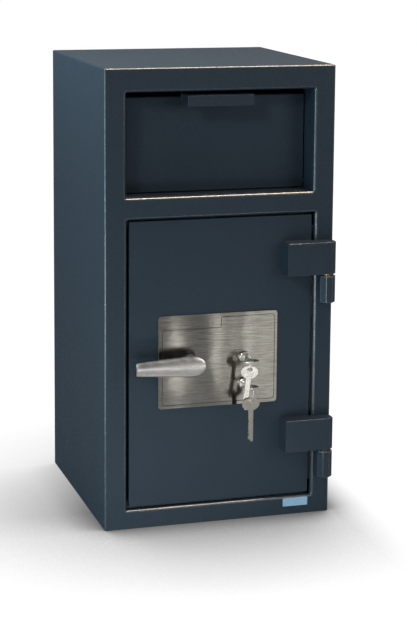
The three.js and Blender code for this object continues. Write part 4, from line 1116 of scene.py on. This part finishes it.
def page_mask(finish):
    """1 for the camera's rays and those through glass, and a share of 1 for reflected ones."""
    seen = finish.node("ShaderNodeLightPath", output="Is Camera Ray")
    through = finish.node("ShaderNodeLightPath", output="Is Transmission Ray")
    mirrored = finish.node("ShaderNodeLightPath", output="Is Glossy Ray")
    return seen + through + PAGE_IN_GLOSS * mirrored


print("reflections find", PAGE_IN_GLOSS, "of the page")

# %% [markdown]
# ## The dome
# All round the stage is a dome, which is the world's background. It fills the shadows softly, as
# a studio's walls do. One even colour would flatten the front, so it fades: it is brightest behind
# the cabinet and dark in front of it. A picture of a studio could do this too, but two colours and
# one ramp are easier to set.

# %% Dome
DOME_REACH = 0.8
DOME_BACK = (0.60, 0.64, 0.675, 1)


class Dome(Finish):
    """The world's nodes, written with the same expressions as a material's."""

    def __init__(self, name):
        self.world = bpy.data.worlds.new(name)
        self.world.use_nodes = True
        self.tree = self.world.node_tree
        self.tree.nodes.clear()
        self.end = self.tree.nodes.new("ShaderNodeOutputWorld")


dome = Dome("dome")
direction = dome.node("ShaderNodeTexCoord", output="Generated")
behind = dome.node("ShaderNodeSeparateXYZ", {}, {0: direction}, "Y")
studio = dome.mix(dome.fade(behind, (-DOME_REACH, 0.0), (DOME_REACH, 1.0)), BLACK, DOME_BACK)
sky = dome.mix(page_mask(dome), studio, WHITE)
background = dome.node("ShaderNodeBackground", {}, {"Color": sky})
dome.tree.links.new(background.socket, dome.end.inputs["Surface"])
bpy.context.scene.world = dome.world
print("the dome has", len(dome.tree.nodes), "nodes")

# %% [markdown]
# ## The floor
# The cabinet stands on white paper, and only a soft shadow shows where the paper is. Lit paper
# would turn grey and end in a line, so to the camera the floor glows white and the shadow is drawn
# by ambient occlusion: a wide one for the cabinet's shade and a close one for the dark line under
# it. It fades to the right and to the back. To all other rays the floor is plain grey paper.

# %% Floor
FLOOR_HALF = 12
PAPER = (0.3, 0.3, 0.3, 1)
PAGE_STRENGTH = 1.05
WIDE_SHADE, CLOSE_SHADE = 0.5, 0.08
SHADE_RAYS = 8
FADE_RIGHT = (0.27, 1.0), (0.36, 0.05)
FADE_BACK = (-0.12, 0.95), (0.25, 0.45)


def floor_finish():
    """White to the camera, with the cabinet's soft shadow on it."""
    finish = Finish("white_floor")
    wide, close = (
        finish.node("ShaderNodeAmbientOcclusion", {"samples": SHADE_RAYS}, {"Distance": reach}, 1)
        for reach in (WIDE_SHADE, CLOSE_SHADE)
    )
    x, y = (finish.node("ShaderNodeSeparateXYZ", {}, {0: finish.place()}, axis) for axis in "XY")
    fades = finish.fade(x, *FADE_RIGHT) * finish.fade(y, *FADE_BACK)
    shade = 1 - (1 - wide * wide * close) * fades
    lit = finish.node("ShaderNodeBsdfDiffuse", {}, {"Color": PAPER})
    glow = {"Color": finish.mix(shade, BLACK, WHITE), "Strength": PAGE_STRENGTH}
    page = finish.node("ShaderNodeEmission", {}, glow)
    blend = finish.node("ShaderNodeMixShader", {}, {0: page_mask(finish), 1: lit, 2: page})
    finish.tree.links.new(blend.socket, finish.end.inputs["Surface"])
    return finish.material


corners = [(x * FLOOR_HALF, y * FLOOR_HALF, 0) for x, y in ((-1, -1), (1, -1), (1, 1), (-1, 1))]
floor = mesh_piece("floor", corners, [(0, 1, 2, 3)])
wear_finish(floor, floor_finish())
bpy.context.scene.view_settings.view_transform = "Standard"
print("the floor is", 2 * FLOOR_HALF, "m square")
